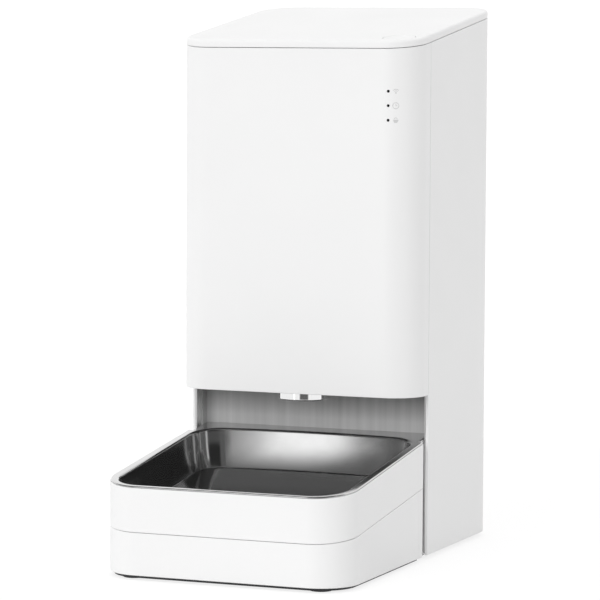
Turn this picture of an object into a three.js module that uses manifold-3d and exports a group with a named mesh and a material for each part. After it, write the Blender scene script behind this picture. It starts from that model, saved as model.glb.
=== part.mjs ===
// Smart pet feeder: a food tower with a sloping lid, a chrome outlet over a steel bowl, and a wedge base.
// Millimetres, +Z up, X to the right, Y towards the back. The drawing frame has y = 0 at the tower's front
// face and z = 0 at the floor. The last lines centre the feeder over its own footprint.
import * as THREE from 'three';
import { mergeVertices } from 'three/addons/utils/BufferGeometryUtils.js';
import Module from 'manifold-3d';

const wasm = await Module();
wasm.setup();

// Driving sizes of the whole feeder
const towerWidth = 180;
const towerDepth = 171;
const towerRadius = 24;
const baseReach = 129;
const floorGap = 3;
const lidSeamHeight = 357.5;
const lidSlope = 0.144;
const lidHeight = 5.3;
const coverDepth = 30.8;
const coverBottom = 116;
const recessDepth = 47;

// Walls and plates
const shellWall = 2.2;
const coverWall = 2.5;
const lidWall = 2.2;
const lidTop = 1.8;
const plateThickness = 2.5;
const hopperWall = 2;

// Clearances: a visible joint line, a fixed fit, a running fit, and how far cutters run past a face
const seamGap = 0.5;
const fitGap = 0.3;
const runGap = 0.5;
const overrun = 5;

// Front base, tray and bowl
const baseSideStep = 0.3;
const tongueSideGap = 1.9;
const baseRadius = 27.5;
const sideEnd = 22.2;
const tongueGap = 0.4;
const traySeamHeight = 32.3;
const traySeamSlope = 0.1275;
const trayTopHeight = 63.7;
const trayTopSlope = 0.1347;
const bowlSideMargin = 6.9;
const bowlRearBow = 4.5;
const bowlFrontMargin = 4.7;
const bowlRear = 33;
const bowlFrontRadius = 21;
const bowlRearRadius = 18;
const bowlDepth = 27;

// Food path
const nozzleY = 21.5;
const nozzleRadius = 18.5;
const nozzleBottom = 110.5;
const rotorY = 65;
const outletOffset = 40;
const chamberRadius = 56;
const chamberFloor = 150;
const chamberHeight = 26;
const neckHeight = 20;
const shoulderDrop = 111.5;
const mouthSideMargin = 10;
const mouthFront = 34;
const mouthRearMargin = 9;
const mouthRadius = 16;

const towerHalf = towerWidth / 2;
const baseHalf = towerHalf - baseSideStep;
const tongueHalf = towerHalf - shellWall - tongueSideGap;
const bowlHalf = baseHalf - bowlSideMargin;
const mouthHalf = towerHalf - mouthSideMargin;
const mouthRear = towerDepth - mouthRearMargin;
const shoulderHeight = lidSeamHeight - shoulderDrop;
const tongueEnd = recessDepth - tongueGap;
const towerFrontY = -(towerDepth + baseReach) / 2 + baseReach;
const lidRearSeam = lidSeamHeight + lidSlope * towerDepth;
const roof = lidRearSeam + lidHeight + overrun;
const quarter = Math.PI / 2;
const arcSteps = 6;
const innerSteps = 4;
const roundSteps = 28;
const smallSteps = 12;

// Finishes
function finish(color, roughness, metalness) {
  return new THREE.MeshStandardMaterial({ color, roughness, metalness });
}
const whitePlastic = finish(0xf2f2f2, 0.42, 0);
const innerPlastic = finish(0xdcdcda, 0.55, 0);
const clearPlastic = finish(0xc8d0d4, 0.25, 0);
const greyPanel = finish(0x9a9a9a, 0.45, 0.2);
const darkPlastic = finish(0x3a3b3d, 0.6, 0);
const blackGloss = finish(0x0c0c0e, 0.2, 0);
const steel = finish(0xb4b6b8, 0.25, 1);
const chrome = finish(0xe6e6e8, 0.08, 1);
const rubber = finish(0x54565a, 0.85, 0);
const silicone = finish(0xcfd2d3, 0.7, 0);
const circuit = finish(0x1f5c38, 0.5, 0.1);
const cellWrap = finish(0x4a6a8c, 0.4, 0.1);

// Solids

// Makes a solid of a closed geometry, leaning it so that it rises by slope for each millimetre of depth.
function solid(geometry, slope = 0) {
  const bare = geometry.clone();
  bare.deleteAttribute('normal');
  bare.deleteAttribute('uv');
  if (slope !== 0) {
    bare.applyMatrix4(new THREE.Matrix4().makeShear(0, 0, 0, slope, 0, 0));
  }
  const welded = mergeVertices(bare);
  const mesh = new wasm.Mesh({
    numProp: 3,
    vertProperties: welded.attributes.position.array,
    triVerts: Uint32Array.from(welded.index.array),
  });
  return new wasm.Manifold(mesh);
}

// A rectangle with rounded corners, seen from above; front is the low y side.
function roundedOutline(half, front, rear, frontRadius, rearRadius) {
  const outline = new THREE.Shape();
  outline.moveTo(-half + frontRadius, front);
  outline.lineTo(half - frontRadius, front);
  outline.absarc(half - frontRadius, front + frontRadius, frontRadius, -quarter, 0);
  outline.lineTo(half, rear - rearRadius);
  outline.absarc(half - rearRadius, rear - rearRadius, rearRadius, 0, quarter);
  outline.lineTo(-half + rearRadius, rear);
  outline.absarc(-half + rearRadius, rear - rearRadius, rearRadius, quarter, quarter * 2);
  outline.lineTo(-half, front + frontRadius);
  outline.absarc(-half + frontRadius, front + frontRadius, frontRadius, quarter * 2, quarter * 3);
  return outline;
}

function slab(outline, low, high, slope = 0, steps = arcSteps) {
  const settings = { depth: high - low, bevelEnabled: false, curveSegments: steps };
  const geometry = new THREE.ExtrudeGeometry(outline, settings);
  geometry.translate(0, 0, low);
  return solid(geometry, slope);
}

function block(left, right, front, rear, low, high, slope = 0) {
  const geometry = new THREE.BoxGeometry(right - left, rear - front, high - low);
  geometry.translate((left + right) / 2, (front + rear) / 2, (low + high) / 2);
  return solid(geometry, slope);
}

// A round rod between two heights, or between two places along X or Y.
function rod(radius, from, to, x, y, steps = roundSteps, slope = 0) {
  const geometry = new THREE.CylinderGeometry(radius, radius, to - from, steps);
  geometry.rotateX(quarter);
  geometry.translate(x, y, (from + to) / 2);
  return solid(geometry, slope);
}

function rodAlongY(radius, from, to, x, z, steps = roundSteps) {
  const geometry = new THREE.CylinderGeometry(radius, radius, to - from, steps);
  geometry.translate(x, (from + to) / 2, z);
  return solid(geometry);
}

function rodAlongX(radius, from, to, y, z, steps = roundSteps) {
  const geometry = new THREE.CylinderGeometry(radius, radius, to - from, steps);
  geometry.rotateZ(quarter);
  geometry.translate((from + to) / 2, y, z);
  return solid(geometry);
}

// Turns a profile of [radius, height] pairs round an upright axis at (x, y).
function turned(profile, x, y, steps = roundSteps, slope = 0) {
  const points = profile.map(([radius, height]) => new THREE.Vector2(radius, height));
  const geometry = new THREE.LatheGeometry(points, steps);
  geometry.rotateX(quarter);
  geometry.translate(x, y, 0);
  const shape = solid(geometry, slope);
  return shape;
}

// The points of a rounded rectangle, as many on every corner, so that sections can be lofted.
function sectionPoints(half, front, rear, frontRadius, rearRadius, steps) {
  const corners = [
    [half - frontRadius, front + frontRadius, frontRadius, -1],
    [half - rearRadius, rear - rearRadius, rearRadius, 0],
    [-half + rearRadius, rear - rearRadius, rearRadius, 1],
    [-half + frontRadius, front + frontRadius, frontRadius, 2],
  ];
  const points = [];
  for (const [x, y, radius, turn] of corners) {
    for (let step = 0; step < steps; step += 1) {
      const angle = quarter * (turn + (step + 0.5) / steps);
      points.push([x + radius * Math.cos(angle), y + radius * Math.sin(angle)]);
    }
  }
  return points;
}

function circlePoints(radius, x, y, steps) {
  const points = sectionPoints(radius, -radius, radius, radius, radius, steps);
  return points.map(([px, py]) => [px + x, py + y]);
}

// Skins a closed body over sections given from the lowest to the highest.
function loft(sections, slope = 0) {
  const count = sections[0].points.length;
  const positions = [];
  for (const section of sections) {
    for (const [x, y] of section.points) {
      positions.push(x, y, section.height);
    }
  }
  const index = [];
  for (let level = 0; level < sections.length - 1; level += 1) {
    for (let step = 0; step < count; step += 1) {
      const next = (step + 1) % count;
      const low = level * count;
      const high = low + count;
      index.push(low + step, low + next, high + next);
      index.push(low + step, high + next, high + step);
    }
  }
  const last = (sections.length - 1) * count;
  for (let step = 1; step < count - 1; step += 1) {
    index.push(0, step + 1, step);
    index.push(last, last + step, last + step + 1);
  }
  const geometry = new THREE.BufferGeometry();
  geometry.setAttribute('position', new THREE.BufferAttribute(new Float32Array(positions), 3));
  geometry.setIndex(index);
  return solid(geometry, slope);
}

function piece(name, shape, material) {
  const mesh = shape.getMesh();
  const geometry = new THREE.BufferGeometry();
  geometry.setAttribute('position', new THREE.BufferAttribute(new Float32Array(mesh.vertProperties), 3));
  geometry.setIndex(new THREE.BufferAttribute(new Uint32Array(mesh.triVerts), 1));
  geometry.computeVertexNormals();
  const part = new THREE.Mesh(geometry, material);
  part.name = name;
  return part;
}

// Large cutters above or below a sloping plane, whose height is given at the tower's front face
const reach = towerWidth + towerDepth + baseReach;
function above(height, slope) {
  return block(-reach, reach, -reach, reach, height, height + roof * 2, slope);
}
function below(height, slope) {
  return block(-reach, reach, -reach, reach, height - roof * 2, height, slope);
}
function behind(front) {
  return block(-reach, reach, front, front + reach, -roof, roof * 2);
}
function before(rear) {
  return block(-reach, reach, rear - reach, rear, -roof, roof * 2);
}

const tower = new THREE.Group();
const lidGroup = new THREE.Group();
const drive = new THREE.Group();
const front = new THREE.Group();

// Tower casing: a shell round the sides and back, and a cover round the front

function towerOutline(inset) {
  const radius = towerRadius - inset;
  return roundedOutline(towerHalf - inset, inset, towerDepth - inset, radius, radius);
}

function towerRing(wall, low, high) {
  const outside = slab(towerOutline(0), low, high);
  return outside.subtract(slab(towerOutline(wall), low - overrun, high + overrun));
}

// The bin's collar hangs below the lid's seam, which the shell's inner tongues stop short of.
const collarDrop = 4;
const collarThickness = 2;
const collarInset = coverWall + fitGap;
const collarBottom = -collarDrop - collarThickness;

// Floor of the tower
const floorThickness = 2.5;
const floorLow = floorGap + fitGap;
const floorHigh = floorLow + floorThickness;
const floorInset = shellWall + fitGap;

// Screws through the floor into bosses on the shell
const bossRadius = 4;
const bossHeight = 20;
const bossRib = 2;
const pilotRadius = 1.8;
const screwRadius = 1.5;
const screwHeadRadius = 3;
const screwHeadHeight = 1.4;
const screwLength = 12;
const bossSideInset = 8;
const bossFrontInset = 18;
const bossRearInset = 22;
const frontBossY = recessDepth + bossFrontInset;
const rearBossY = towerDepth - bossRearInset;
const bossX = towerHalf - shellWall - bossSideInset;
const bossSpots = [
  [-bossX, frontBossY],
  [bossX, frontBossY],
  [-bossX, rearBossY],
  [bossX, rearBossY],
];

// Power inlet in the lower back
const inletInset = 40;
const inletX = -towerHalf + inletInset;
const inletZ = 22;
const inletRadius = 5;
const inletBore = 2.8;
const inletPin = 1;
const inletLength = 12;
const inletFlange = 7;

const shellFront = coverDepth + seamGap / 2;
const coverRear = coverDepth - seamGap / 2;
const tongueWall = 1.1;
const lapReach = 3;
const lapRoot = 6;
const lapOuter = towerHalf - coverWall - fitGap;

function makeShell() {
  const lapLow = coverBottom + lapRoot * 2;
  let shell = towerRing(shellWall, floorGap, roof);
  shell = shell.subtract(before(shellFront));
  for (const side of [-1, 1]) {
    const inner = side * (lapOuter - tongueWall);
    const outer = side * lapOuter;
    const wall = side * (towerHalf - shellWall / 2);
    const lapTop = lidSeamHeight + collarBottom - fitGap;
    const lapFront = shellFront - lapReach;
    const lapRear = shellFront + lapRoot;
    const xs = [Math.min(inner, outer), Math.max(inner, outer)];
    const root = [Math.min(inner, wall), Math.max(inner, wall)];
    const lap = block(xs[0], xs[1], lapFront, lapRear, lapLow, roof);
    const base = block(root[0], root[1], shellFront, lapRear, lapLow, roof);
    shell = shell.add(lap.add(base).subtract(above(lapTop, lidSlope)));
  }
  const bossLow = floorHigh + fitGap;
  for (const [x, y] of bossSpots) {
    const side = Math.sign(x);
    const wall = side * (towerHalf - shellWall / 2);
    const rib = block(
      Math.min(x, wall), Math.max(x, wall), y - bossRib / 2, y + bossRib / 2, bossLow, bossLow + bossHeight,
    );
    const pilot = rod(pilotRadius, bossLow - overrun, bossLow + screwLength + runGap, x, y, 12);
    const boss = rod(bossRadius, bossLow, bossLow + bossHeight, x, y, 16);
    shell = shell.add(boss.add(rib)).subtract(pilot);
  }
  const inlet = rodAlongY(
    inletRadius + fitGap, towerDepth - shellWall - overrun, towerDepth + overrun, inletX, inletZ,
  );
  return shell.subtract(inlet).subtract(above(lidSeamHeight - seamGap / 2, lidSlope));
}

// Indicator lights near the cover's right edge
const lightInset = 20.1;
const lightX = towerHalf - lightInset;
const lightDrop = 29.3;
const lightTop = lidSeamHeight - lightDrop;
const lightPitch = 10;
const lightRadius = 1;
const lightFlangeRadius = 1.8;
const lightHeights = [lightTop, lightTop - lightPitch, lightTop - lightPitch * 2];
// How far the rounded corner falls back from the front face at the lights
const cornerRun = Math.max(lightX - (towerHalf - towerRadius), 0);
const lightFront = towerRadius - Math.sqrt(towerRadius ** 2 - cornerRun ** 2);

// The lights' board stands off the cover on two posts
const lightBoardFront = coverWall + 3;
const lightBoardHalf = 11;
const lightBoardMargin = 8;
const lightFlangeLength = 1.4;
const lightPostRadius = 2;
const lightPostX = lightX - lightBoardHalf / 2;
const lightPosts = [lightTop + lightBoardMargin / 2, lightHeights[2] - lightBoardMargin / 2];

const coverLip = 3;
const coverLipThickness = 1.6;

function makeCover() {
  let cover = towerRing(coverWall, coverBottom, roof);
  const lipOutside = slab(towerOutline(coverWall / 2), coverBottom, coverBottom + coverLipThickness);
  const lipInside = slab(towerOutline(coverWall + coverLip), coverBottom - overrun, coverBottom + overrun);
  const nozzleRoom = rod(nozzleRadius + fitGap, coverBottom - overrun, coverBottom + overrun, 0, nozzleY);
  cover = cover.add(lipOutside.subtract(lipInside)).subtract(nozzleRoom);
  cover = cover.subtract(behind(coverRear));
  for (const height of lightPosts) {
    cover = cover.add(
      rodAlongY(lightPostRadius, coverWall / 2, lightBoardFront - fitGap, lightPostX, height, smallSteps)
    );
  }
  for (const height of lightHeights) {
    cover = cover.subtract(
      rodAlongY(lightRadius + fitGap, -overrun, coverWall + overrun, lightX, height, smallSteps)
    );
  }
  return cover.subtract(above(lidSeamHeight - seamGap / 2, lidSlope));
}

// Ceiling of the feeding recess, with the outlet hole
const ceilingLow = coverBottom + coverLipThickness + fitGap;
const ceilingHigh = ceilingLow + plateThickness;
const ceilingLap = 10;
const ceilingCorner = 3;

function makeCeiling() {
  const inset = coverWall + fitGap;
  const rear = recessDepth + ceilingLap;
  const outline = roundedOutline(towerHalf - inset, inset, rear, towerRadius - inset, ceilingCorner);
  const plate = slab(outline, ceilingLow, ceilingHigh);
  return plate.subtract(
    rod(nozzleRadius + fitGap, ceilingLow - overrun, ceilingHigh + overrun, 0, nozzleY)
  );
}

// Back wall of the recess: a sheet with folded side flanges, and posts for the control board behind it
const panelSheet = 1.6;
const panelCheek = 1.2;
const panelFlange = 7;
const panelHalf = towerHalf - shellWall - fitGap;
const panelLow = floorHigh + fitGap;
const panelHigh = ceilingLow - fitGap;
const postLength = 6;
const postRadius = 3;
const boardThickness = 1.6;
const boardSideInset = 48;
const boardHalf = towerHalf - boardSideInset;
const boardLow = 56;
const boardHigh = 108;
const postInset = 5;
const boardFront = recessDepth + panelSheet + postLength + fitGap;

function makePanel() {
  const rear = recessDepth + panelSheet;
  const folded = block(-panelHalf, panelHalf, recessDepth - panelFlange, rear, panelLow, panelHigh);
  const inside = panelHalf - panelCheek;
  let panel = folded.subtract(block(-inside, inside, 0, recessDepth, 0, roof));
  for (const x of [-boardHalf + postInset, boardHalf - postInset]) {
    for (const z of [boardLow + postInset, boardHigh - postInset]) {
      panel = panel.add(rodAlongY(postRadius, recessDepth + panelSheet / 2, boardFront - fitGap, x, z, 12));
    }
  }
  return panel;
}

// Main board: a relay, a radio module, two capacitors and a row of sockets stand on its rear face
const relayShares = [-0.8, -0.45, 0.5, 0.85];
const radioShares = [0.2, 0.8, 0.3, 0.8];
const socketShares = [-0.75, 0.75, 0.06, 0.22];
const relayDepth = 12;
const radioDepth = 3;
const socketDepth = 7;
const capacitorRadius = 4;
const capacitorLength = 11;
const capacitorShares = [[-0.25, 0.62], [-0.02, 0.62]];

function makeControlBoard() {
  const rear = boardFront + boardThickness;
  const height = boardHigh - boardLow;
  let board = block(-boardHalf, boardHalf, boardFront, rear, boardLow, boardHigh);
  const chips = [[relayShares, relayDepth], [radioShares, radioDepth], [socketShares, socketDepth]];
  for (const [[left, right, low, high], depth] of chips) {
    const from = boardLow + low * height;
    const to = boardLow + high * height;
    board = board.add(
      block(left * boardHalf, right * boardHalf, rear - boardThickness / 2, rear + depth, from, to)
    );
  }
  for (const [across, up] of capacitorShares) {
    const x = across * boardHalf;
    const z = boardLow + up * height;
    board = board.add(
      rodAlongY(capacitorRadius, rear - boardThickness / 2, rear + capacitorLength, x, z, 16)
    );
  }
  return board;
}

// Backup cells: two rows of two lie across the tower over a door in its floor
const cellRadius = 17.1;
const cellLength = 61.5;
const cellNubRadius = 4.5;
const cellNubHeight = 1.5;
const cellGap = 1;
const cellRowInset = 66;
const cellRowY = towerDepth - cellRowInset;
const rowPitch = cellRadius * 2 + cellGap;
const cellPitch = cellLength + cellGap * 2;
const boxWall = 1.8;
const doorThickness = 1.9;
const doorGap = 0.4;
const boxInnerHalf = cellPitch + cellGap;
const boxInnerFront = cellRowY - rowPitch / 2 - cellRadius - cellGap;
const boxInnerRear = cellRowY + rowPitch / 2 + cellRadius + cellGap;
const doorTop = floorLow + doorThickness;
const cellAxisHeight = doorTop + fitGap + cellRadius;
const boxLow = floorHigh + fitGap;
const boxTop = cellAxisHeight + cellRadius + cellGap + boxWall;
const doorNotchWidth = 18;
const doorNotchDepth = 5;

function makeFloor() {
  const radius = towerRadius - floorInset;
  const rear = towerDepth - floorInset;
  const outline = roundedOutline(towerHalf - floorInset, recessDepth, rear, ceilingCorner, radius);
  let plate = slab(outline, floorLow, floorHigh);
  plate = plate.subtract(
    block(-boxInnerHalf, boxInnerHalf, boxInnerFront, boxInnerRear, 0, floorHigh + overrun)
  );
  for (const [x, y] of bossSpots) {
    plate = plate.subtract(rod(screwRadius + fitGap, 0, floorHigh + overrun, x, y, 8));
    plate = plate.subtract(rod(screwHeadRadius + fitGap, 0, floorLow + screwHeadHeight + fitGap, x, y, 12));
  }
  for (const [x, y] of rearFootSpots) {
    plate = plate.subtract(rod(footRadius + fitGap, 0, floorLow + footSeat + fitGap, x, y, 16));
  }
  return plate;
}

function makeBatteryBox() {
  const half = boxInnerHalf + boxWall;
  const outside = block(-half, half, boxInnerFront - boxWall, boxInnerRear + boxWall, boxLow, boxTop);
  const inside = block(-boxInnerHalf, boxInnerHalf, boxInnerFront, boxInnerRear, 0, boxTop - boxWall);
  const rib = block(-boxWall / 2, boxWall / 2, boxInnerFront - boxWall / 2, boxInnerRear + boxWall / 2,
    cellAxisHeight + cellRadius / 2, boxTop - boxWall / 2);
  const clear = rodAlongX(
    cellRadius + fitGap, -cellPitch, cellPitch, cellRowY - rowPitch / 2, cellAxisHeight,
  );
  const clearRear = rodAlongX(
    cellRadius + fitGap, -cellPitch, cellPitch, cellRowY + rowPitch / 2, cellAxisHeight,
  );
  return outside.subtract(inside).add(rib.subtract(clear).subtract(clearRear));
}

function makeBatteryDoor() {
  const half = boxInnerHalf - doorGap;
  const doorFront = boxInnerFront + doorGap;
  const doorRear = boxInnerRear - doorGap;
  let door = block(-half, half, doorFront, doorRear, floorLow, doorTop);
  const notchHalf = doorNotchWidth / 2;
  door = door.subtract(block(-notchHalf, notchHalf, doorRear - doorNotchDepth, doorRear + overrun,
    floorLow - overrun, floorLow + doorThickness / 2));
  return door;
}

function makeCell(x, y) {
  const shoulder = cellLength - cellNubHeight;
  const profile = [
    [0, 0],
    [cellRadius, 0],
    [cellRadius, shoulder],
    [cellNubRadius, shoulder],
    [cellNubRadius, cellLength],
    [0, cellLength],
  ];
  const points = profile.map(([radius, height]) => new THREE.Vector2(radius, height));
  const geometry = new THREE.LatheGeometry(points, 20);
  geometry.rotateZ(-quarter);
  geometry.translate(x - cellLength / 2, y, cellAxisHeight);
  return solid(geometry);
}

function makeInlet() {
  const face = towerDepth - fitGap;
  const barrelFront = face - inletLength;
  const shellInner = towerDepth - shellWall;
  let inlet = rodAlongY(inletRadius, barrelFront, face, inletX, inletZ, 20);
  inlet = inlet.add(rodAlongY(inletFlange, barrelFront, shellInner - fitGap, inletX, inletZ, 20));
  inlet = inlet.subtract(
    rodAlongY(inletBore, barrelFront + inletLength / 4, face + overrun, inletX, inletZ, 16)
  );
  return inlet.add(rodAlongY(inletPin, barrelFront + inletPin, face - inletPin * 2, inletX, inletZ, 10));
}

// Rubber feet in sockets under the base plate and the tower floor
const footRadius = 8;
const footSeat = 1;
const plateLow = 1.2;
const rearFootSideInset = 35;
const rearFootInset = 17;
const rearFootX = towerHalf - rearFootSideInset;
const rearFootY = towerDepth - rearFootInset;
const rearFootSpots = [[-rearFootX, rearFootY], [rearFootX, rearFootY]];
const frontFootSideInset = 21.7;
const frontFootInset = 14;
const frontFootX = baseHalf - frontFootSideInset;
const frontFootY = -baseReach + frontFootInset;
const middleFootInset = 11.5;
const middleFootX = tongueHalf - middleFootInset;
const middleFootY = sideEnd + middleFootInset;
const baseFootSpots = [
  [-frontFootX, frontFootY],
  [frontFootX, frontFootY],
  [-middleFootX, middleFootY],
  [middleFootX, middleFootY],
];

function makeFoot([x, y], seat) {
  const shoulder = seat / 3;
  const profile = [
    [0, 0],
    [footRadius - shoulder, 0],
    [footRadius, shoulder],
    [footRadius, seat + footSeat],
    [0, seat + footSeat],
  ];
  return turned(profile, x, y, 16);
}

function makeScrew([x, y]) {
  const head = floorLow + fitGap;
  const neck = floorLow + screwHeadHeight;
  const profile = [
    [0, head],
    [screwHeadRadius, head],
    [screwHeadRadius, neck],
    [screwRadius, neck],
    [screwRadius, neck + screwLength - screwRadius],
    [0, neck + screwLength],
  ];
  return turned(profile, x, y, 8);
}

tower.add(piece('body_shell', makeShell(), whitePlastic));
tower.add(piece('front_cover', makeCover(), whitePlastic));
tower.add(piece('recess_ceiling', makeCeiling(), greyPanel));
tower.add(piece('recess_panel', makePanel(), greyPanel));
tower.add(piece('control_board', makeControlBoard(), circuit));
tower.add(piece('tower_floor', makeFloor(), innerPlastic));
tower.add(piece('battery_box', makeBatteryBox(), darkPlastic));
tower.add(piece('battery_door', makeBatteryDoor(), innerPlastic));
tower.add(piece('power_inlet', makeInlet(), darkPlastic));

let cellNumber = 1;
for (const y of [cellRowY - rowPitch / 2, cellRowY + rowPitch / 2]) {
  for (const x of [-cellPitch / 2, cellPitch / 2]) {
    tower.add(piece(`battery_cell_${cellNumber}`, makeCell(x, y), cellWrap));
    cellNumber += 1;
  }
}
bossSpots.forEach((spot, at) => {
  tower.add(piece(`floor_screw_${at + 1}`, makeScrew(spot), steel));
});
rearFootSpots.forEach((spot, at) => {
  tower.add(piece(`rear_foot_${at + 1}`, makeFoot(spot, floorLow), rubber));
});

// Indicator lights, their board, and the switch under the feed button

function makeLight(height) {
  const flangeRear = lightBoardFront - fitGap;
  const face = lightFront + fitGap / 2;
  const pin = rodAlongY(lightRadius, face, flangeRear, lightX, height, 12);
  return pin.add(
    rodAlongY(lightFlangeRadius, flangeRear - lightFlangeLength, flangeRear, lightX, height, 12)
  );
}

function makeLightBoard() {
  const low = lightHeights[2] - lightBoardMargin;
  const high = lightTop + lightBoardMargin;
  const left = lightX - lightBoardHalf;
  const right = lightX + lightBoardHalf / 2;
  const rear = lightBoardFront + boardThickness;
  const board = block(left, right, lightBoardFront, rear, low, high);
  const plug = block(
    left, left + socketDepth, rear - boardThickness / 2, rear + socketDepth, low, low + socketDepth,
  );
  return board.add(plug);
}

const lightNames = ['network_light', 'food_level_light', 'outlet_light'];
lightNames.forEach((name, at) => {
  tower.add(piece(name, makeLight(lightHeights[at]), blackGloss));
});
tower.add(piece('indicator_board', makeLightBoard(), circuit));

// Lid and everything that lifts off with it. Heights here are counted from the lid's seam.

const lidRound = 1.8;
const lidLow = seamGap / 2;
const linerLow = 0.4;
const linerThickness = 1.1;
const linerHigh = linerLow + linerThickness;
const sealWidth = 2;
const sealLow = -11;
const sealHigh = -3.5;
const skirtInset = fitGap * 2 + sealWidth;
const skirtWall = 2;
const skirtLow = -14;
const buttonInset = 18;
const buttonX = towerHalf - buttonInset;
const buttonY = 15.5;
const buttonRadius = 11.2;
const buttonDish = 0.7;
const buttonTravel = 0.8;
const buttonFlange = 0.6;
const buttonFlangeReach = 1.2;
const buttonLow = lidHeight - lidTop;
const stemRadius = 2.5;
const stemLow = collarBottom + 1;
const desiccantRadius = 32;
const desiccantWall = 1.6;
const ringReach = 6;
const desiccantDepth = 16;
const desiccantY = (mouthFront + mouthRear) / 2;

function fromSeam(height) {
  return lidSeamHeight + height;
}

function mouthOutline(inset) {
  const radius = mouthRadius - inset;
  return roundedOutline(mouthHalf - inset, mouthFront + inset, mouthRear - inset, radius, radius);
}

function makeLid() {
  const settings = {
    depth: lidHeight,
    bevelEnabled: true,
    bevelThickness: lidRound,
    bevelSize: lidRound,
    bevelSegments: 3,
    curveSegments: arcSteps,
  };
  const geometry = new THREE.ExtrudeGeometry(towerOutline(lidRound), settings);
  geometry.translate(0, 0, fromSeam(-lidRound));
  let lid = solid(geometry, lidSlope).subtract(below(fromSeam(lidLow), lidSlope));
  lid = lid.subtract(
    slab(towerOutline(lidWall), fromSeam(-overrun), fromSeam(lidHeight - lidTop), lidSlope)
  );
  return lid.subtract(
    rod(buttonRadius + fitGap, fromSeam(0), roof * 2, buttonX, buttonY, roundSteps, lidSlope)
  );
}

function makeLiner() {
  const plate = slab(towerOutline(lidWall + fitGap), fromSeam(linerLow), fromSeam(linerHigh), lidSlope);
  const top = fromSeam(linerHigh - linerThickness / 2);
  const skirtOutside = slab(mouthOutline(skirtInset), fromSeam(skirtLow), top, lidSlope, innerSteps);
  const skirtInside = slab(
    mouthOutline(skirtInset + skirtWall), fromSeam(skirtLow - overrun), top, lidSlope, innerSteps,
  );
  const ringInner = desiccantRadius + fitGap;
  const ringOutside = rod(
    ringInner + skirtWall, fromSeam(linerLow - ringReach), top, 0, desiccantY, roundSteps, lidSlope,
  );
  const ringInside = rod(
    ringInner, fromSeam(linerLow - ringReach - overrun), top, 0, desiccantY, roundSteps, lidSlope,
  );
  const hole = rod(
    stemRadius + fitGap, fromSeam(-overrun), fromSeam(overrun), buttonX, buttonY, 16, lidSlope,
  );
  return plate.add(skirtOutside.subtract(skirtInside)).add(ringOutside.subtract(ringInside)).subtract(hole);
}

function makeSeal() {
  const outside = slab(mouthOutline(fitGap), fromSeam(sealLow), fromSeam(sealHigh), lidSlope, innerSteps);
  const inside = mouthOutline(fitGap + sealWidth);
  return outside.subtract(
    slab(inside, fromSeam(sealLow - overrun), fromSeam(sealHigh + overrun), lidSlope, innerSteps)
  );
}

function makeButton() {
  const low = fromSeam(buttonLow);
  const high = fromSeam(lidHeight);
  const profile = [
    [0, low],
    [buttonRadius, low],
    [buttonRadius, high - buttonDish / 3],
    [buttonRadius - buttonDish, high],
    [buttonRadius * 0.7, high - buttonDish * 0.7],
    [0, high - buttonDish],
  ];
  // A flange under the lid keeps the cap in; it is cut back where the lid's wall is near.
  const flangeRadius = buttonRadius + buttonFlangeReach;
  const flangeTop = low - fitGap;
  const ring = rod(
    flangeRadius, flangeTop - buttonFlange, flangeTop, buttonX, buttonY, roundSteps, lidSlope,
  );
  const room = slab(
    towerOutline(lidWall + fitGap), fromSeam(-overrun), fromSeam(overrun), lidSlope, innerSteps,
  );
  const core = rod(
    buttonRadius, flangeTop - buttonFlange, low + buttonDish / 2, buttonX, buttonY, roundSteps, lidSlope,
  );
  const cap = turned(profile, buttonX, buttonY, roundSteps, lidSlope).add(ring.intersect(room)).add(core);
  return cap.add(rod(stemRadius, fromSeam(stemLow), low + buttonDish, buttonX, buttonY, 16, lidSlope));
}

const grilleBars = 4;
const desiccantCoverThickness = 1.6;
const desiccantPlug = 3;
const desiccantTop = linerLow - fitGap;
const desiccantLow = desiccantTop - desiccantDepth;

function makeDesiccantBox() {
  const inner = desiccantRadius - desiccantWall;
  const profile = [
    [0, fromSeam(desiccantTop - desiccantWall)],
    [inner, fromSeam(desiccantTop - desiccantWall)],
    [inner, fromSeam(desiccantLow)],
    [desiccantRadius, fromSeam(desiccantLow)],
    [desiccantRadius, fromSeam(desiccantTop)],
    [0, fromSeam(desiccantTop)],
  ];
  return turned(profile, 0, desiccantY, roundSteps, lidSlope);
}

function makeDesiccantCover() {
  const high = desiccantLow - fitGap;
  const low = high - desiccantCoverThickness;
  const plugRadius = desiccantRadius - desiccantWall - fitGap;
  const plugInner = plugRadius - desiccantWall;
  let cover = rod(desiccantRadius, fromSeam(low), fromSeam(high), 0, desiccantY, roundSteps, lidSlope);
  const ring = rod(
    plugRadius, fromSeam(low), fromSeam(high + desiccantPlug), 0, desiccantY, roundSteps, lidSlope,
  );
  const inside = rod(
    plugInner, fromSeam(high), fromSeam(high + overrun * 2), 0, desiccantY, roundSteps, lidSlope,
  );
  cover = cover.add(ring).subtract(inside);
  const pitch = plugInner * 2 / (grilleBars + 1);
  const slotHalf = pitch / 4;
  for (let slot = 0; slot < grilleBars; slot += 1) {
    const x = (slot - (grilleBars - 1) / 2) * pitch;
    const length = Math.sqrt(plugInner ** 2 - x ** 2) - desiccantWall * 2;
    cover = cover.subtract(block(x - slotHalf, x + slotHalf, desiccantY - length, desiccantY + length,
      fromSeam(low - overrun), fromSeam(high + overrun), lidSlope));
  }
  return cover;
}

lidGroup.add(piece('lid', makeLid(), whitePlastic));
lidGroup.add(piece('lid_liner', makeLiner(), innerPlastic));
lidGroup.add(piece('lid_seal', makeSeal(), silicone));
lidGroup.add(piece('feed_button', makeButton(), whitePlastic));
lidGroup.add(piece('desiccant_box', makeDesiccantBox(), innerPlastic));
lidGroup.add(piece('desiccant_cover', makeDesiccantCover(), innerPlastic));

// Collar that closes the tower round the food bin's mouth
const collarSkirt = 8;
const collarSkirtWall = 2;
const stemHole = stemRadius + runGap;

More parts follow.
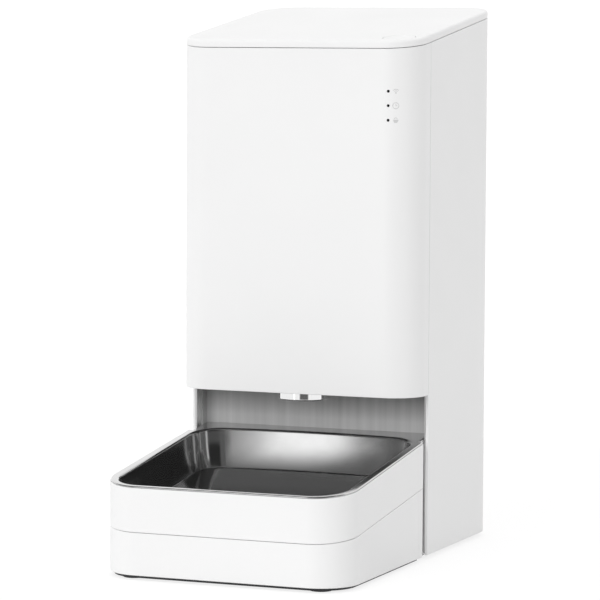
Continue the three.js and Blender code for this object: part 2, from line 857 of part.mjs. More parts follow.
function makeCollar() {
  const low = fromSeam(collarBottom);
  const high = fromSeam(-collarDrop);
  const deck = slab(towerOutline(collarInset), low, high, lidSlope);
  const edge = slab(towerOutline(collarInset), low - collarSkirt, high, lidSlope);
  const hollowOutline = towerOutline(collarInset + collarSkirtWall);
  const hollow = slab(hollowOutline, low - collarSkirt - overrun, high - collarThickness / 2, lidSlope);
  // The skirt runs along the cover only, so that it stays clear of the laps on the shell.
  const lapFront = shellFront - lapReach - fitGap;
  const skirt = edge.subtract(hollow).subtract(behind(lapFront));
  const mouth = slab(mouthOutline(0), low - overrun, high + overrun, lidSlope, innerSteps);
  const hole = rod(stemHole, low - overrun, high + overrun, buttonX, buttonY, 16, lidSlope);
  return deck.add(skirt).subtract(mouth).subtract(hole);
}

// Switch on its own small board under the collar
const switchTop = stemLow - buttonTravel - fitGap;
const switchCapRadius = 1.8;
const switchBody = 3;
const switchCapHeight = 1.2;
const switchBoardHalf = 9;

function makeSwitch() {
  const bodyTop = switchTop - switchCapHeight;
  const bodyLow = bodyTop - switchBody;
  const boardLowEdge = bodyLow - boardThickness;
  const size = switchBoardHalf;
  const boardFrontEdge = buttonY - size * 2 / 3;
  const board = block(buttonX - size, buttonX + size / 2, boardFrontEdge, buttonY + size,
    fromSeam(boardLowEdge), fromSeam(bodyLow), lidSlope);
  const body = block(buttonX - switchBody, buttonX + switchBody, buttonY - switchBody, buttonY + switchBody,
    fromSeam(bodyLow - boardThickness / 2), fromSeam(bodyTop), lidSlope);
  const capLow = fromSeam(bodyTop - switchCapHeight);
  const cap = rod(switchCapRadius, capLow, fromSeam(switchTop), buttonX, buttonY, 12, lidSlope);
  // Two posts carry the board from the underside of the collar.
  let part = board.add(body).add(cap);
  for (const y of [boardFrontEdge + stemRadius, buttonY + size - stemRadius]) {
    const x = buttonX - size + stemRadius;
    const postLow = fromSeam(bodyLow - boardThickness / 2);
    const postTop = fromSeam(collarBottom - fitGap);
    part = part.add(rod(stemRadius, postLow, postTop, x, y, 12, lidSlope));
  }
  return part;
}

tower.add(piece('top_collar', makeCollar(), innerPlastic));
tower.add(piece('button_switch', makeSwitch(), circuit));

// Food bin: rectangular above, drawn in to a round neck over the portioning chamber
const neckLow = chamberFloor + chamberHeight + fitGap;
const neckTop = neckLow + neckHeight;
const chamberWall = 2.5;
const binFlange = 3;
const binFlangeThickness = 2;
const loftSteps = 6;
const sensorHeight = neckLow + neckHeight * 0.6;
const sensorRadius = 5;
const sensorFlangeRadius = 7;

function makeHopper() {
  function walls(offset, low, high) {
    const radius = chamberRadius + offset;
    const half = mouthHalf + offset;
    const corner = mouthRadius + offset;
    const rect = sectionPoints(half, mouthFront - offset, mouthRear + offset, corner, corner, loftSteps);
    const round = circlePoints(radius, 0, rotorY, loftSteps);
    return loft([
      { points: round, height: low },
      { points: round, height: neckTop },
      { points: rect, height: shoulderHeight },
      { points: rect, height: high },
    ]);
  }
  const rim = fromSeam(collarBottom - fitGap);
  const outside = walls(hopperWall, neckLow, roof);
  const inside = walls(0, neckLow - overrun, roof + overrun);
  const flangeOutside = slab(
    mouthOutline(-hopperWall - binFlange), rim - binFlangeThickness, rim, lidSlope, innerSteps,
  );
  const flangeInside = slab(
    mouthOutline(-hopperWall / 2), rim - overrun, rim + overrun, lidSlope, innerSteps,
  );
  let hopper = outside.subtract(inside).subtract(above(rim, lidSlope));
  hopper = hopper.add(flangeOutside.subtract(flangeInside));
  const hole = rodAlongX(sensorRadius + fitGap, -reach, reach, rotorY, sensorHeight, 20);
  return hopper.subtract(hole);
}

function makeSensor(side) {
  const wall = chamberRadius;
  const flangeStart = wall + hopperWall + fitGap;
  const lens = rodAlongX(sensorRadius, wall - fitGap, flangeStart + hopperWall, 0, 0, 20);
  const flange = rodAlongX(sensorFlangeRadius, flangeStart, flangeStart + hopperWall * 2, 0, 0, 20);
  const plug = block(flangeStart + hopperWall, flangeStart + hopperWall * 4, -sensorRadius, sensorRadius,
    -sensorRadius / 2, sensorRadius / 2);
  const sensor = piece(
    side < 0 ? 'level_receiver' : 'level_emitter', lens.add(flange).add(plug), darkPlastic,
  );
  sensor.position.set(0, rotorY, sensorHeight);
  sensor.rotation.z = side < 0 ? Math.PI : 0;
  return sensor;
}

tower.add(piece('food_bin', makeHopper(), clearPlastic));
tower.add(makeSensor(-1));
tower.add(makeSensor(1));

// Portioning drive, drawn round the rotor's axis

const shaftRadius = 4;
const shaftClearance = 0.3;
const chamberFloorLow = chamberFloor - plateThickness;
const chamberTop = chamberFloor + chamberHeight;
const outletRadius = 15;
const bushRadius = 7;
const bushFlangeRadius = 9;
const bushFlange = 1.5;
const vaneCount = 8;
const vaneThickness = 2.2;
const hubRadius = 15;
const rotorHeight = 21;
const rotorLow = chamberFloor + runGap;
const rotorHigh = rotorLow + rotorHeight;
const wiperGap = 0.7;
const wiperThickness = 1.6;
const wiperLow = rotorHigh + wiperGap;
const wiperSpan = Math.PI * 0.42;

function makeChamber() {
  const outer = chamberRadius + chamberWall;
  let chamber = rod(outer, chamberFloorLow, chamberTop, 0, 0, 40);
  chamber = chamber.subtract(rod(chamberRadius, chamberFloor, chamberTop + overrun, 0, 0, 40));
  chamber = chamber.subtract(
    rod(outletRadius, chamberFloorLow - overrun, chamberFloor + overrun, 0, -outletOffset)
  );
  return chamber.subtract(
    rod(bushRadius + fitGap, chamberFloorLow - overrun, chamberFloor + overrun, 0, 0, 24)
  );
}

function makeRotor() {
  let rotor = rod(hubRadius, rotorLow, rotorHigh, 0, 0, 24);
  const tip = chamberRadius - runGap * 2;
  for (let vane = 0; vane < vaneCount; vane += 1) {
    const geometry = new THREE.BoxGeometry(tip - shaftRadius * 2, vaneThickness, rotorHeight);
    geometry.translate((tip + shaftRadius * 2) / 2, 0, (rotorLow + rotorHigh) / 2);
    geometry.rotateZ((vane + 0.5) / vaneCount * Math.PI * 2);
    rotor = rotor.add(solid(geometry));
  }
  return rotor.subtract(
    rod(shaftRadius + shaftClearance, rotorLow - overrun, rotorHigh + overrun, 0, 0, 20)
  );
}

// The stirrer stands on the rotor and keeps the food moving in the neck.
const stirrerHub = 9;
const stirrerHeight = 14;
const stirrerArm = 40;
const stirrerArmWidth = 5;
const stirrerArmThickness = 4;
const fingerHeight = 18;
const stirrerLow = wiperLow + wiperThickness + wiperGap;
const stirrerHigh = stirrerLow + stirrerHeight;
const hubLow = rotorHigh + fitGap;

function makeStirrer() {
  const dome = [
    [0, hubLow],
    [stirrerHub, hubLow],
    [stirrerHub, stirrerHigh - stirrerHub / 2],
    [stirrerHub * 0.6, stirrerHigh - stirrerHub / 6],
    [0, stirrerHigh],
  ];
  let stirrer = turned(dome, 0, 0, 24);
  for (const side of [-1, 1]) {
    const reach = side * stirrerArm;
    const arm = block(
      Math.min(0, reach), Math.max(0, reach), -stirrerArmWidth / 2, stirrerArmWidth / 2,
      stirrerLow, stirrerLow + stirrerArmThickness,
    );
    const tip = side * (stirrerArm - stirrerArmWidth / 2);
    const finger = rod(stirrerArmWidth / 2, stirrerLow, stirrerLow + fingerHeight, tip, 0, 12);
    stirrer = stirrer.add(arm).add(finger);
  }
  return stirrer.subtract(
    rod(shaftRadius + shaftClearance, hubLow - overrun, shaftTop + shaftClearance, 0, 0, 20)
  );
}

// Fixed shutter over the outlet, held in the chamber's rim
function makeWiper() {
  const outline = new THREE.Shape();
  const outer = chamberRadius - fitGap;
  const inner = hubRadius + runGap;
  const middle = -quarter;
  outline.absarc(0, 0, outer, middle - wiperSpan / 2, middle + wiperSpan / 2);
  outline.absarc(0, 0, inner, middle + wiperSpan / 2, middle - wiperSpan / 2, true);
  return slab(outline, wiperLow, wiperLow + wiperThickness, 0, 14);
}

// Gear train: pinion, compound idler and drive gear
const gearModule = 1;
const driveTeeth = 36;
const idlerSmallTeeth = 12;
const idlerLargeTeeth = 30;
const pinionTeeth = 10;
const idlerDistance = gearModule * (driveTeeth + idlerSmallTeeth) / 2;
const pinionDistance = idlerDistance + gearModule * (idlerLargeTeeth + pinionTeeth) / 2;
const caseWall = 2;
const caseClearance = 1.5;
const caseLow = 125;
const caseFloor = caseLow + caseWall;
const caseCoverThickness = 2;
const bushFlangeLow = chamberFloorLow - fitGap - bushFlange;
const caseCoverHigh = bushFlangeLow - fitGap;
const caseCoverLow = caseCoverHigh - caseCoverThickness;
const caseTop = caseCoverLow - fitGap;
const stageGap = 1;
const lowStage = caseFloor + stageGap;
const lowStageHeight = 5;
const highStage = lowStage + lowStageHeight + stageGap;
const highStageTop = caseTop - stageGap;
const shaftLow = caseFloor + fitGap;
const shaftTop = stirrerHigh - stirrerHub / 2;
const pinRadius = 2;
const motorShaftRadius = 1.2;
const motorRadius = 12;
const motorLength = 32;
const motorTop = caseLow - fitGap;
const caseInner = gearModule * (driveTeeth / 2 + 1) + caseClearance;

// A spur gear's outline: flat-topped stub teeth on involute flanks, thinned for running backlash.
const toothAddendumShare = 0.8;
const toothRootShare = 1.05;
const backlash = 0.14;
const pressureAngle = Math.PI / 9;

function gearOutline(teeth) {
  const pitch = gearModule * teeth / 2;
  const baseCircle = pitch * Math.cos(pressureAngle);
  const tip = pitch + gearModule * toothAddendumShare;
  const root = pitch - gearModule * toothRootShare;
  const involute = (radius) => {
    const ratio = Math.sqrt(Math.max((radius / baseCircle) ** 2 - 1, 0));
    return ratio - Math.atan(ratio);
  };
  const halfAtPitch = Math.PI / teeth / 2 - backlash / pitch / 2;
  const halfAt = (radius) => halfAtPitch + involute(pitch) - involute(radius);
  const points = [];
  for (let tooth = 0; tooth < teeth; tooth += 1) {
    const middle = tooth / teeth * Math.PI * 2;
    const flank = [root, pitch, tip];
    for (const radius of flank) {
      points.push([radius, middle - halfAt(radius)]);
    }
    for (const radius of flank.slice().reverse()) {
      points.push([radius, middle + halfAt(radius)]);
    }
  }
  const flat = points.map(
    ([radius, angle]) => new THREE.Vector2(radius * Math.cos(angle), radius * Math.sin(angle))
  );
  return new THREE.Shape(flat);
}

function gear(teeth, low, high) {
  return slab(gearOutline(teeth), low, high);
}

function stadium(radius, length) {
  const outline = new THREE.Shape();
  outline.absarc(0, 0, radius, quarter * 2, quarter * 4);
  outline.absarc(0, length, radius, 0, quarter * 2);
  return outline;
}

function makeCase() {
  const outside = slab(stadium(caseInner + caseWall, pinionDistance), caseLow, caseTop, 0, 12);
  const inside = slab(stadium(caseInner, pinionDistance), caseFloor, caseTop + overrun, 0, 12);
  const hole = rod(motorShaftRadius * 2, caseLow - overrun, caseFloor + overrun, 0, pinionDistance, 16);
  return outside.subtract(inside).subtract(hole);
}

function makeCaseCover() {
  const plate = slab(stadium(caseInner + caseWall, pinionDistance), caseCoverLow, caseCoverHigh, 0, 12);
  return plate.subtract(
    rod(shaftRadius + runGap, caseCoverLow - overrun, caseCoverHigh + overrun, 0, 0, 20)
  );
}

function makeBush() {
  const bore = shaftRadius + shaftClearance;
  const profile = [
    [bore, bushFlangeLow],
    [bushFlangeRadius, bushFlangeLow],
    [bushFlangeRadius, bushFlangeLow + bushFlange],
    [bushRadius, bushFlangeLow + bushFlange],
    [bushRadius, chamberFloor],
    [bore, chamberFloor],
    [bore, bushFlangeLow],
  ];
  return turned(profile, 0, 0, 24);
}

function makeShaft() {
  const shaft = rod(shaftRadius, shaftLow, shaftTop, 0, 0, 20);
  // A flat on one side keys the gear, the rotor and the stirrer.
  const wide = shaftRadius * 2;
  return shaft.subtract(block(shaftRadius * 0.8, wide, -wide, wide, rotorLow, shaftTop + overrun));
}

function makeDriveGear() {
  const hub = rod(shaftRadius * 1.75, lowStage, highStageTop, 0, 0, 20);
  const shape = gear(driveTeeth, highStage, highStageTop).add(hub);
  return shape.subtract(
    rod(shaftRadius + shaftClearance, lowStage - overrun, highStageTop + overrun, 0, 0, 20)
  );
}

function makeIdler() {
  const large = gear(idlerLargeTeeth, lowStage, lowStage + lowStageHeight);
  const small = gear(idlerSmallTeeth, lowStage, highStageTop);
  const both = large.add(small);
  return both.subtract(
    rod(pinRadius + shaftClearance, lowStage - overrun, highStageTop + overrun, 0, 0, 16)
  );
}

function makePinion() {
  const teeth = gear(pinionTeeth, lowStage, lowStage + lowStageHeight);
  return teeth.add(
    rod(motorShaftRadius, motorTop - motorShaftRadius * 4, lowStage + lowStageHeight, 0, 0, 12)
  );
}

function makeMotor() {
  const can = rod(motorRadius, motorTop - motorLength, motorTop, 0, 0, 28);
  const sides = [];
  for (const side of [-1, 1]) {
    const flat = side * motorRadius * 0.82;
    sides.push(block(Math.min(flat, flat * 2), Math.max(flat, flat * 2), -motorRadius * 2, motorRadius * 2,
      motorTop - motorLength - overrun, motorTop + overrun));
  }
  const boreLow = motorTop - motorShaftRadius * 4 - fitGap;
  const bore = rod(motorShaftRadius + shaftClearance, boreLow, motorTop + overrun, 0, 0, 12);
  const boss = rod(
    motorRadius * 0.4, motorTop - motorLength - motorShaftRadius, motorTop - motorLength / 2, 0, 0, 16,
  );
  return can.subtract(sides[0]).subtract(sides[1]).add(boss).subtract(bore);
}

function placed(part, x, y) {
  part.position.set(x, y, 0);
  return part;
}

drive.add(piece('portion_chamber', makeChamber(), innerPlastic));
drive.add(piece('portion_rotor', makeRotor(), silicone));
drive.add(piece('stirrer', makeStirrer(), innerPlastic));
drive.add(piece('outlet_shutter', makeWiper(), innerPlastic));
drive.add(piece('gearbox_case', makeCase(), darkPlastic));
drive.add(piece('gearbox_cover', makeCaseCover(), darkPlastic));
drive.add(piece('shaft_bush', makeBush(), steel));
drive.add(piece('drive_shaft', makeShaft(), steel));
// The gears are turned so that a tooth of one meets a gap of the next.
const driveGear = piece('drive_gear', makeDriveGear(), silicone);
driveGear.rotation.z = quarter + Math.PI / driveTeeth;
drive.add(driveGear);
const idler = placed(piece('idler_gear', makeIdler(), silicone), 0, idlerDistance);
idler.rotation.z = -quarter;
drive.add(idler);
const idlerPin = rod(pinRadius, caseFloor + fitGap, caseTop, 0, 0, 12);
drive.add(placed(piece('idler_pin', idlerPin, steel), 0, idlerDistance));
const pinion = placed(piece('motor_pinion', makePinion(), steel), 0, pinionDistance);
pinion.rotation.z = -quarter + Math.PI / pinionTeeth;
drive.add(pinion);
drive.add(placed(piece('motor', makeMotor(), steel), 0, pinionDistance));
drive.position.y = rotorY;

// Chute from the chamber to the outlet, its light gate, and the chrome nozzle

const nozzleWall = 2;
const nozzleFlangeRadius = 22;
const nozzleFlange = 2;
const nozzleFlangeLow = ceilingHigh + fitGap;
const nozzleTop = nozzleFlangeLow + nozzleFlange;
const chuteLow = nozzleTop + fitGap;
const chuteHigh = chamberFloorLow - fitGap;
const chuteWall = 1.6;
const chuteFlange = 1.5;
const chuteFlangeRadius = 20;
const chuteTopY = rotorY - outletOffset;
const gateRadius = 2;
const gateHeight = (chuteLow + chuteHigh) / 2;
const gateY = (nozzleY + chuteTopY) / 2;
const gateSize = 8;
const gateDepth = 5;

function makeNozzle() {
  const inner = nozzleRadius - nozzleWall;
  const round = nozzleWall / 3;
  const profile = [
    [inner, nozzleBottom + round],
    [inner + round, nozzleBottom],
    [nozzleRadius - round, nozzleBottom],
    [nozzleRadius, nozzleBottom + round],
    [nozzleRadius, nozzleFlangeLow],
    [nozzleFlangeRadius, nozzleFlangeLow],
    [nozzleFlangeRadius, nozzleTop],
    [inner, nozzleTop],
    [inner, nozzleBottom + round],
  ];
  return turned(profile, 0, nozzleY, 36).subtract(before(coverWall + fitGap));
}

function makeChute() {
  function tube(offset, low, high) {
    const bottomRadius = nozzleRadius - nozzleWall + offset;
    const topRadius = outletRadius + fitGap + offset;
    return loft([
      { points: circlePoints(bottomRadius, 0, nozzleY, loftSteps), height: low },
      { points: circlePoints(topRadius, 0, chuteTopY, loftSteps), height: high },
    ]);
  }
  const flange = rod(chuteFlangeRadius, chuteHigh - chuteFlange, chuteHigh, 0, chuteTopY);
  const gate = rodAlongX(gateRadius, -reach, reach, gateY, gateHeight, 12);
  const outside = tube(chuteWall, chuteLow, chuteHigh).add(flange);
  const inside = tube(0, chuteLow, chuteHigh);
  const passing = circlePoints(nozzleRadius - nozzleWall, 0, nozzleY, loftSteps);
  const topping = circlePoints(outletRadius + fitGap, 0, chuteTopY, loftSteps);
  const lower = loft(
    [{ points: passing, height: chuteLow - overrun }, { points: passing, height: chuteLow }]
  );
  const upper = loft(
    [{ points: topping, height: chuteHigh }, { points: topping, height: chuteHigh + overrun }]
  );
  return outside.subtract(inside.add(lower).add(upper)).subtract(gate);
}

function makeGate(side) {
  const skin = nozzleRadius - nozzleWall + chuteWall + fitGap;
  const body = block(skin, skin + gateDepth, -gateSize / 2, gateSize / 2, -gateSize / 2, gateSize / 2);
  const eye = rodAlongX(gateRadius - fitGap, skin - chuteWall, skin + gateDepth / 2, 0, 0, 12);
  const gate = piece(side < 0 ? 'outlet_receiver' : 'outlet_emitter', body.add(eye), darkPlastic);
  gate.position.set(0, gateY, gateHeight);
  gate.rotation.z = side < 0 ? Math.PI : 0;
  return gate;
}

tower.add(piece('outlet_nozzle', makeNozzle(), chrome));
tower.add(piece('outlet_chute', makeChute(), innerPlastic));
tower.add(makeGate(-1));
tower.add(makeGate(1));

// Front base, its plate, the tray and the bowl

const baseWall = 2.5;
const deckThickness = 2.5;
const sideCorner = 1.5;
const seamLevel = traySeamHeight + traySeamSlope * baseReach;
const topLevel = trayTopHeight + trayTopSlope * baseReach;
const railSideInset = 34.7;
const railX = baseHalf - railSideInset;
const railHalf = 2;
const railHeight = 1.2;
const railFrontInset = 30;
const railRearInset = 10;
const railFront = -baseReach + railFrontInset;
const railRear = tongueEnd - railRearInset;
const plateHigh = 4.4;
const trayFloor = 2.2;
const rimEdgeInset = 0.5;
const rimTaper = 5.4;
const rimTaperRun = 47;
const rimThickness = 1;
const bowlSheet = 0.8;
const cavityGap = 2.5;
const bowlFront = -baseReach + bowlFrontMargin;

// The base's plan: a wide front with round corners and a narrower tongue that runs into the recess
function basePlan(inset, low, high) {
  const radius = baseRadius - inset;
  const wide = roundedOutline(baseHalf - inset, -baseReach + inset, sideEnd - inset, radius, sideCorner);
  const tongueSide = tongueHalf - inset;
  const tongue = roundedOutline(tongueSide, 0, tongueEnd - inset, sideCorner, sideCorner);
  return slab(wide, low, high).add(slab(tongue, low, high));
}

function rails(grow) {
  const parts = [-1, 1].map((side) => {
    const x = side * railX;
    const half = railHalf + grow;
    return block(x - half, x + half, railFront - grow, railRear + grow, seamLevel - deckThickness / 2,
      seamLevel - seamGap / 2 + railHeight + grow, traySeamSlope);
  });
  return parts[0].add(parts[1]);
}

function makeBase() {
  const outside = basePlan(0, floorGap, roof).subtract(above(seamLevel - seamGap / 2, traySeamSlope));
  const hollow = basePlan(baseWall, -overrun, roof);
  const inside = hollow.subtract(above(seamLevel - seamGap / 2 - deckThickness, traySeamSlope));
  return outside.subtract(inside).add(rails(0));
}

function makeBasePlate() {
  let plate = basePlan(baseWall + fitGap, plateLow, plateHigh);
  for (const [x, y] of baseFootSpots) {
    plate = plate.subtract(rod(footRadius + fitGap, 0, plateLow + footSeat + fitGap, x, y, 16));
  }
  return plate;
}

function bowlOutline(offset) {
  const front = bowlFront - offset;
  const rear = bowlRear + offset;
  return roundedOutline(bowlHalf + offset, front, rear, bowlFrontRadius + offset, bowlRearRadius + offset);
}

function makeTray() {
  let tray = basePlan(0, 0, roof).subtract(below(seamLevel + seamGap / 2, traySeamSlope));
  tray = tray.subtract(above(topLevel - rimThickness - fitGap, trayTopSlope));
  const cavity = slab(bowlOutline(cavityGap), 0, roof).subtract(
    below(seamLevel + seamGap / 2 + trayFloor, traySeamSlope)
  );
  // The tray is hollow behind the wall round the bowl.
  const roomLimit = above(topLevel - rimThickness - fitGap - trayFloor, trayTopSlope);
  const wallRoundBowl = slab(bowlOutline(cavityGap + trayFloor), -overrun, roof * 2);
  const behindBowl = basePlan(baseWall, 0, roof).subtract(before(bowlRear));
  const room = behindBowl.subtract(wallRoundBowl).subtract(roomLimit);
  return tray.subtract(cavity).subtract(groove()).subtract(room);
}

// Grooves under the tray run out at the rear, so that the tray can be drawn forwards over the rails.
function groove() {
  const parts = [-1, 1].map((side) => {
    const x = side * railX;
    const half = railHalf + runGap;
    return block(x - half, x + half, railFront - runGap, recessDepth + overrun, seamLevel - overrun,
      seamLevel - seamGap / 2 + railHeight + fitGap, traySeamSlope);
  });
  return parts[0].add(parts[1]);
}

// Pressed dish: the rim rolls over, then the wall leans in a little and turns into the floor.
const bowlRoll = 3;
const rollShares = [0, 0.5, 1];
const bowlDepthShares = [0.55, 0.8, 0.94, 1];
const bowlInsetShares = [0.13, 0.26, 0.46, 0.8];
const bowlSteps = 6;

// The rear edge gets points of its own, because it bows outwards.
function bowlSection(half, front, rear, radiusFront, radiusRear) {
  const points = sectionPoints(half, front, rear, radiusFront, radiusRear, bowlSteps);
  const edge = [];
  for (let step = 1; step < bowlSteps; step += 1) {
    edge.push([(half - radiusRear) * (1 - 2 * step / bowlSteps), rear]);
  }
  points.splice(bowlSteps * 2, 0, ...edge);
  const middle = (front + rear) / 2;
  return points.map(([x, y]) => [x, y > middle ? y - bowlRearBow * (x / bowlHalf) ** 2 : y]);
}

// One level of the dish, at an inset from the wall's top edge and a depth under the rim
function bowlLevel(inset, depth) {
  const shrink = inset < 0 ? inset : inset * 0.3;
  const radiusFront = Math.max(bowlFrontRadius - shrink, bowlFrontRadius / 2);
  const radiusRear = Math.max(bowlRearRadius - shrink, bowlRearRadius / 2);
  const points = bowlSection(
    bowlHalf - inset, bowlFront + inset, bowlRear - inset, radiusFront, radiusRear,
  );
  return { points, height: topLevel - depth };
}

// The rim narrows towards its rear, so that it passes between the shell's edges when it is lifted.
function rimLimit() {
  const half = baseHalf - rimEdgeInset;
  const outline = new THREE.Shape();
  outline.moveTo(-half, -baseReach);
  outline.lineTo(half, -baseReach);
  outline.lineTo(half, tongueEnd - rimTaperRun);
  outline.lineTo(half - rimTaper, tongueEnd);
  outline.lineTo(-half + rimTaper, tongueEnd);
  outline.lineTo(-half, tongueEnd - rimTaperRun);
  return slab(outline, 0, roof);
}

function makeBowl() {
  function dish(offset, lift) {
    const radius = bowlRoll - offset;
    const roll = rollShares.map((share) => {
      const across = radius * Math.sin(share * quarter);
      const rise = share === 0 ? lift : 0;
      return bowlLevel(across - bowlRoll, bowlRoll - radius * Math.cos(share * quarter) - rise);
    });
    const wall = bowlDepthShares.map((share, at) => {
      return bowlLevel(bowlInsetShares[at] * bowlDepth - offset, share * bowlDepth + offset);
    });
    return loft(roll.concat(wall).reverse(), trayTopSlope);
  }
  let rim = basePlan(rimEdgeInset, 0, roof).subtract(above(topLevel, trayTopSlope));
  rim = rim.subtract(below(topLevel - rimThickness, trayTopSlope)).intersect(rimLimit());
  return rim.add(dish(bowlSheet, bowlSheet / 2)).subtract(dish(0, overrun));
}

front.add(piece('base', makeBase(), whitePlastic));
front.add(piece('base_plate', makeBasePlate(), darkPlastic));
front.add(piece('bowl_tray', makeTray(), whitePlastic));
front.add(piece('steel_bowl', makeBowl(), steel));
baseFootSpots.forEach((spot, at) => {
  front.add(piece(`base_foot_${at + 1}`, makeFoot(spot, plateLow), rubber));
});

const assembly = new THREE.Group();
assembly.add(tower, lidGroup, drive, front);
assembly.position.y = towerFrontY;
const feeder = new THREE.Group();
feeder.add(assembly);

export default feeder;
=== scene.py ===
# %% [markdown]
# # A smart pet feeder in Blender
# The feeder is a white plastic tower on a wedge-shaped base, with a pressed steel bowl under a chrome outlet.
# The solid model already gives every size and joint, so this lesson only dresses it: each visible shell is
# modelled again with soft edges, and each piece gets a finish made from nodes.

# %% Load the solid model
import math

import bmesh
import bpy
from mathutils import Matrix, Vector


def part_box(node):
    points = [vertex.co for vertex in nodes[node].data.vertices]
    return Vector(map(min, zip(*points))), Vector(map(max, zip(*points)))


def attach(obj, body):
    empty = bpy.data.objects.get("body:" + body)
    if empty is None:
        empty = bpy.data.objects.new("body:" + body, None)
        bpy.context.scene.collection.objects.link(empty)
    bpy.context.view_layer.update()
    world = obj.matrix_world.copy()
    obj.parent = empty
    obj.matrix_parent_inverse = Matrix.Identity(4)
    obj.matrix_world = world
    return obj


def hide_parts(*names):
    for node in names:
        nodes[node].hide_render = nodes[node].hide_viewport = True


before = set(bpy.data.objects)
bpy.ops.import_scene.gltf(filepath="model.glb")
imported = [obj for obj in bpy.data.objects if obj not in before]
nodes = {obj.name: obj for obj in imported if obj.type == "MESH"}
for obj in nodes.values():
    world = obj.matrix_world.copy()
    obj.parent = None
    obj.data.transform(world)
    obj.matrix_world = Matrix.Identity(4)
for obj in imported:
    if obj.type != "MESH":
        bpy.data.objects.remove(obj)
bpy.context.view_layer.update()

# %% [markdown]
# ## Sizes
# All shapes below are written in the tower's own millimetres: x to the right, y = 0 at the front face of the
# tower and z = 0 at the floor. The front face's real place is read from the solid model, so that the new
# shells land exactly where the solid ones were.

# %% Name the sizes of the shells
MM = 0.001
FRONT_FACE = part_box("front_cover")[0].y
TOWER_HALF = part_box("front_cover")[1].x / MM
TOWER_REAR = (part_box("body_shell")[1].y - FRONT_FACE) / MM
TOWER_CORNER = 24.0
SHELL_WALL = 2.2
COVER_WALL = 2.5
COVER_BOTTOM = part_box("front_cover")[0].z / MM
COVER_REAR = (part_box("front_cover")[1].y - FRONT_FACE) / MM
SHELL_FRONT = 31.05
SHELL_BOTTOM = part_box("body_shell")[0].z / MM
LID_SEAM, LID_SLOPE = 357.5, 0.144
SEAM_HALF = 0.25
BASE_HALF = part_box("base")[1].x / MM
BASE_FRONT = (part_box("base")[0].y - FRONT_FACE) / MM
BASE_CORNER = 27.5
SIDE_END = 22.2
TONGUE_HALF = 85.9
TONGUE_END = (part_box("base")[1].y - FRONT_FACE) / MM
TRAY_SEAM, TRAY_SEAM_SLOPE = 48.75, 0.1275
TRAY_TOP, TRAY_TOP_SLOPE = 81.076, 0.1347
print("tower", TOWER_HALF * 2, "x", round(TOWER_REAR, 2), "mm, base from", round(BASE_FRONT, 2), "mm")

# %% [markdown]
# ## Places and sloping seams
# The lid, the base and the tray meet on planes that slope from front to back. A height is therefore a rule
# that gives z for any y: a level, or an offset from one of the seams. One plan and one rule place any ring.


# %% Turn millimetres into places
def place(x, y, z):
    """A spot given in the tower's millimetres, as metres in the feeder's frame."""
    return Vector((x * MM, y * MM + FRONT_FACE, z * MM))


def level(height):
    """A flat height."""
    return lambda y: height


def lid_seam(offset):
    """A height counted from the sloping seam under the lid."""
    return lambda y: LID_SEAM + LID_SLOPE * y + offset


def tray_seam(offset):
    """A height counted from the seam between base and tray."""
    return lambda y: TRAY_SEAM + TRAY_SEAM_SLOPE * y + offset


def tray_top(offset):
    """A height counted from the sloping top of the tray."""
    return lambda y: TRAY_TOP + TRAY_TOP_SLOPE * y + offset


# %% [markdown]
# ## Plans and rings
# Every shell here is a plan (an outline seen from above) carried up through a list of heights. If a plan can
# be drawn at any inset with the same number of points, a wall, a rounded edge and a hollow are all just
# rings of that plan joined by faces. This keeps the topology clean, so bevels and reflections stay smooth.

# %% Draw rounded plans
ARC_STEPS = 14


def arc(cx, cy, radius, start, end, steps=ARC_STEPS):
    """Points on an arc, angles in quarter turns."""
    points = []
    for step in range(steps + 1):
        angle = math.pi / 2 * (start + (end - start) * step / steps)
        points.append((cx + radius * math.cos(angle), cy + radius * math.sin(angle)))
    return points


def circle(cx, cy, radius, steps):
    """Points round a whole circle."""
    return arc(cx, cy, radius, 0, 4, steps)[:-1]


def tower_plan(inset):
    """The whole outline of the tower, counter-clockwise from the front right corner."""
    side, near, far = TOWER_HALF - TOWER_CORNER, TOWER_CORNER, TOWER_REAR - TOWER_CORNER
    radius = TOWER_CORNER - inset
    return (
        arc(side, near, radius, -1, 0)
        + arc(side, far, radius, 0, 1)
        + arc(-side, far, radius, 1, 2)
        + arc(-side, near, radius, 2, 3)
    )


def cover_run(inset):
    """The open run of the front cover, from its left rear edge round the front to the right."""
    side, near = TOWER_HALF - TOWER_CORNER, TOWER_CORNER
    radius = TOWER_CORNER - inset
    left, right = (-TOWER_HALF + inset, COVER_REAR), (TOWER_HALF - inset, COVER_REAR)
    return [left] + arc(-side, near, radius, 2, 3) + arc(side, near, radius, 3, 4) + [right]


def shell_run(inset):
    """The open run of the rear shell, from its right front edge round the back to the left."""
    side, far = TOWER_HALF - TOWER_CORNER, TOWER_REAR - TOWER_CORNER
    radius = TOWER_CORNER - inset
    right, left = (TOWER_HALF - inset, SHELL_FRONT), (-TOWER_HALF + inset, SHELL_FRONT)
    return [right] + arc(side, far, radius, 0, 1) + arc(-side, far, radius, 1, 2) + [left]


def base_plan(inset):
    """The base and its tray from above: a wide front and a narrower tongue that enters the recess."""
    side, near = BASE_HALF - BASE_CORNER, BASE_FRONT + BASE_CORNER
    radius = BASE_CORNER - inset
    wide, narrow = BASE_HALF - inset, TONGUE_HALF - inset
    step, end = SIDE_END - inset, TONGUE_END - inset
    right = arc(side, near, radius, -1, 0) + [(wide, step), (narrow, step), (narrow, end)]
    left = [(-narrow, end), (-narrow, step), (-wide, step)] + arc(-side, near, radius, 2, 3)
    return right + left


print("points in the tower plan:", len(tower_plan(0)), "and in the base plan:", len(base_plan(0)))

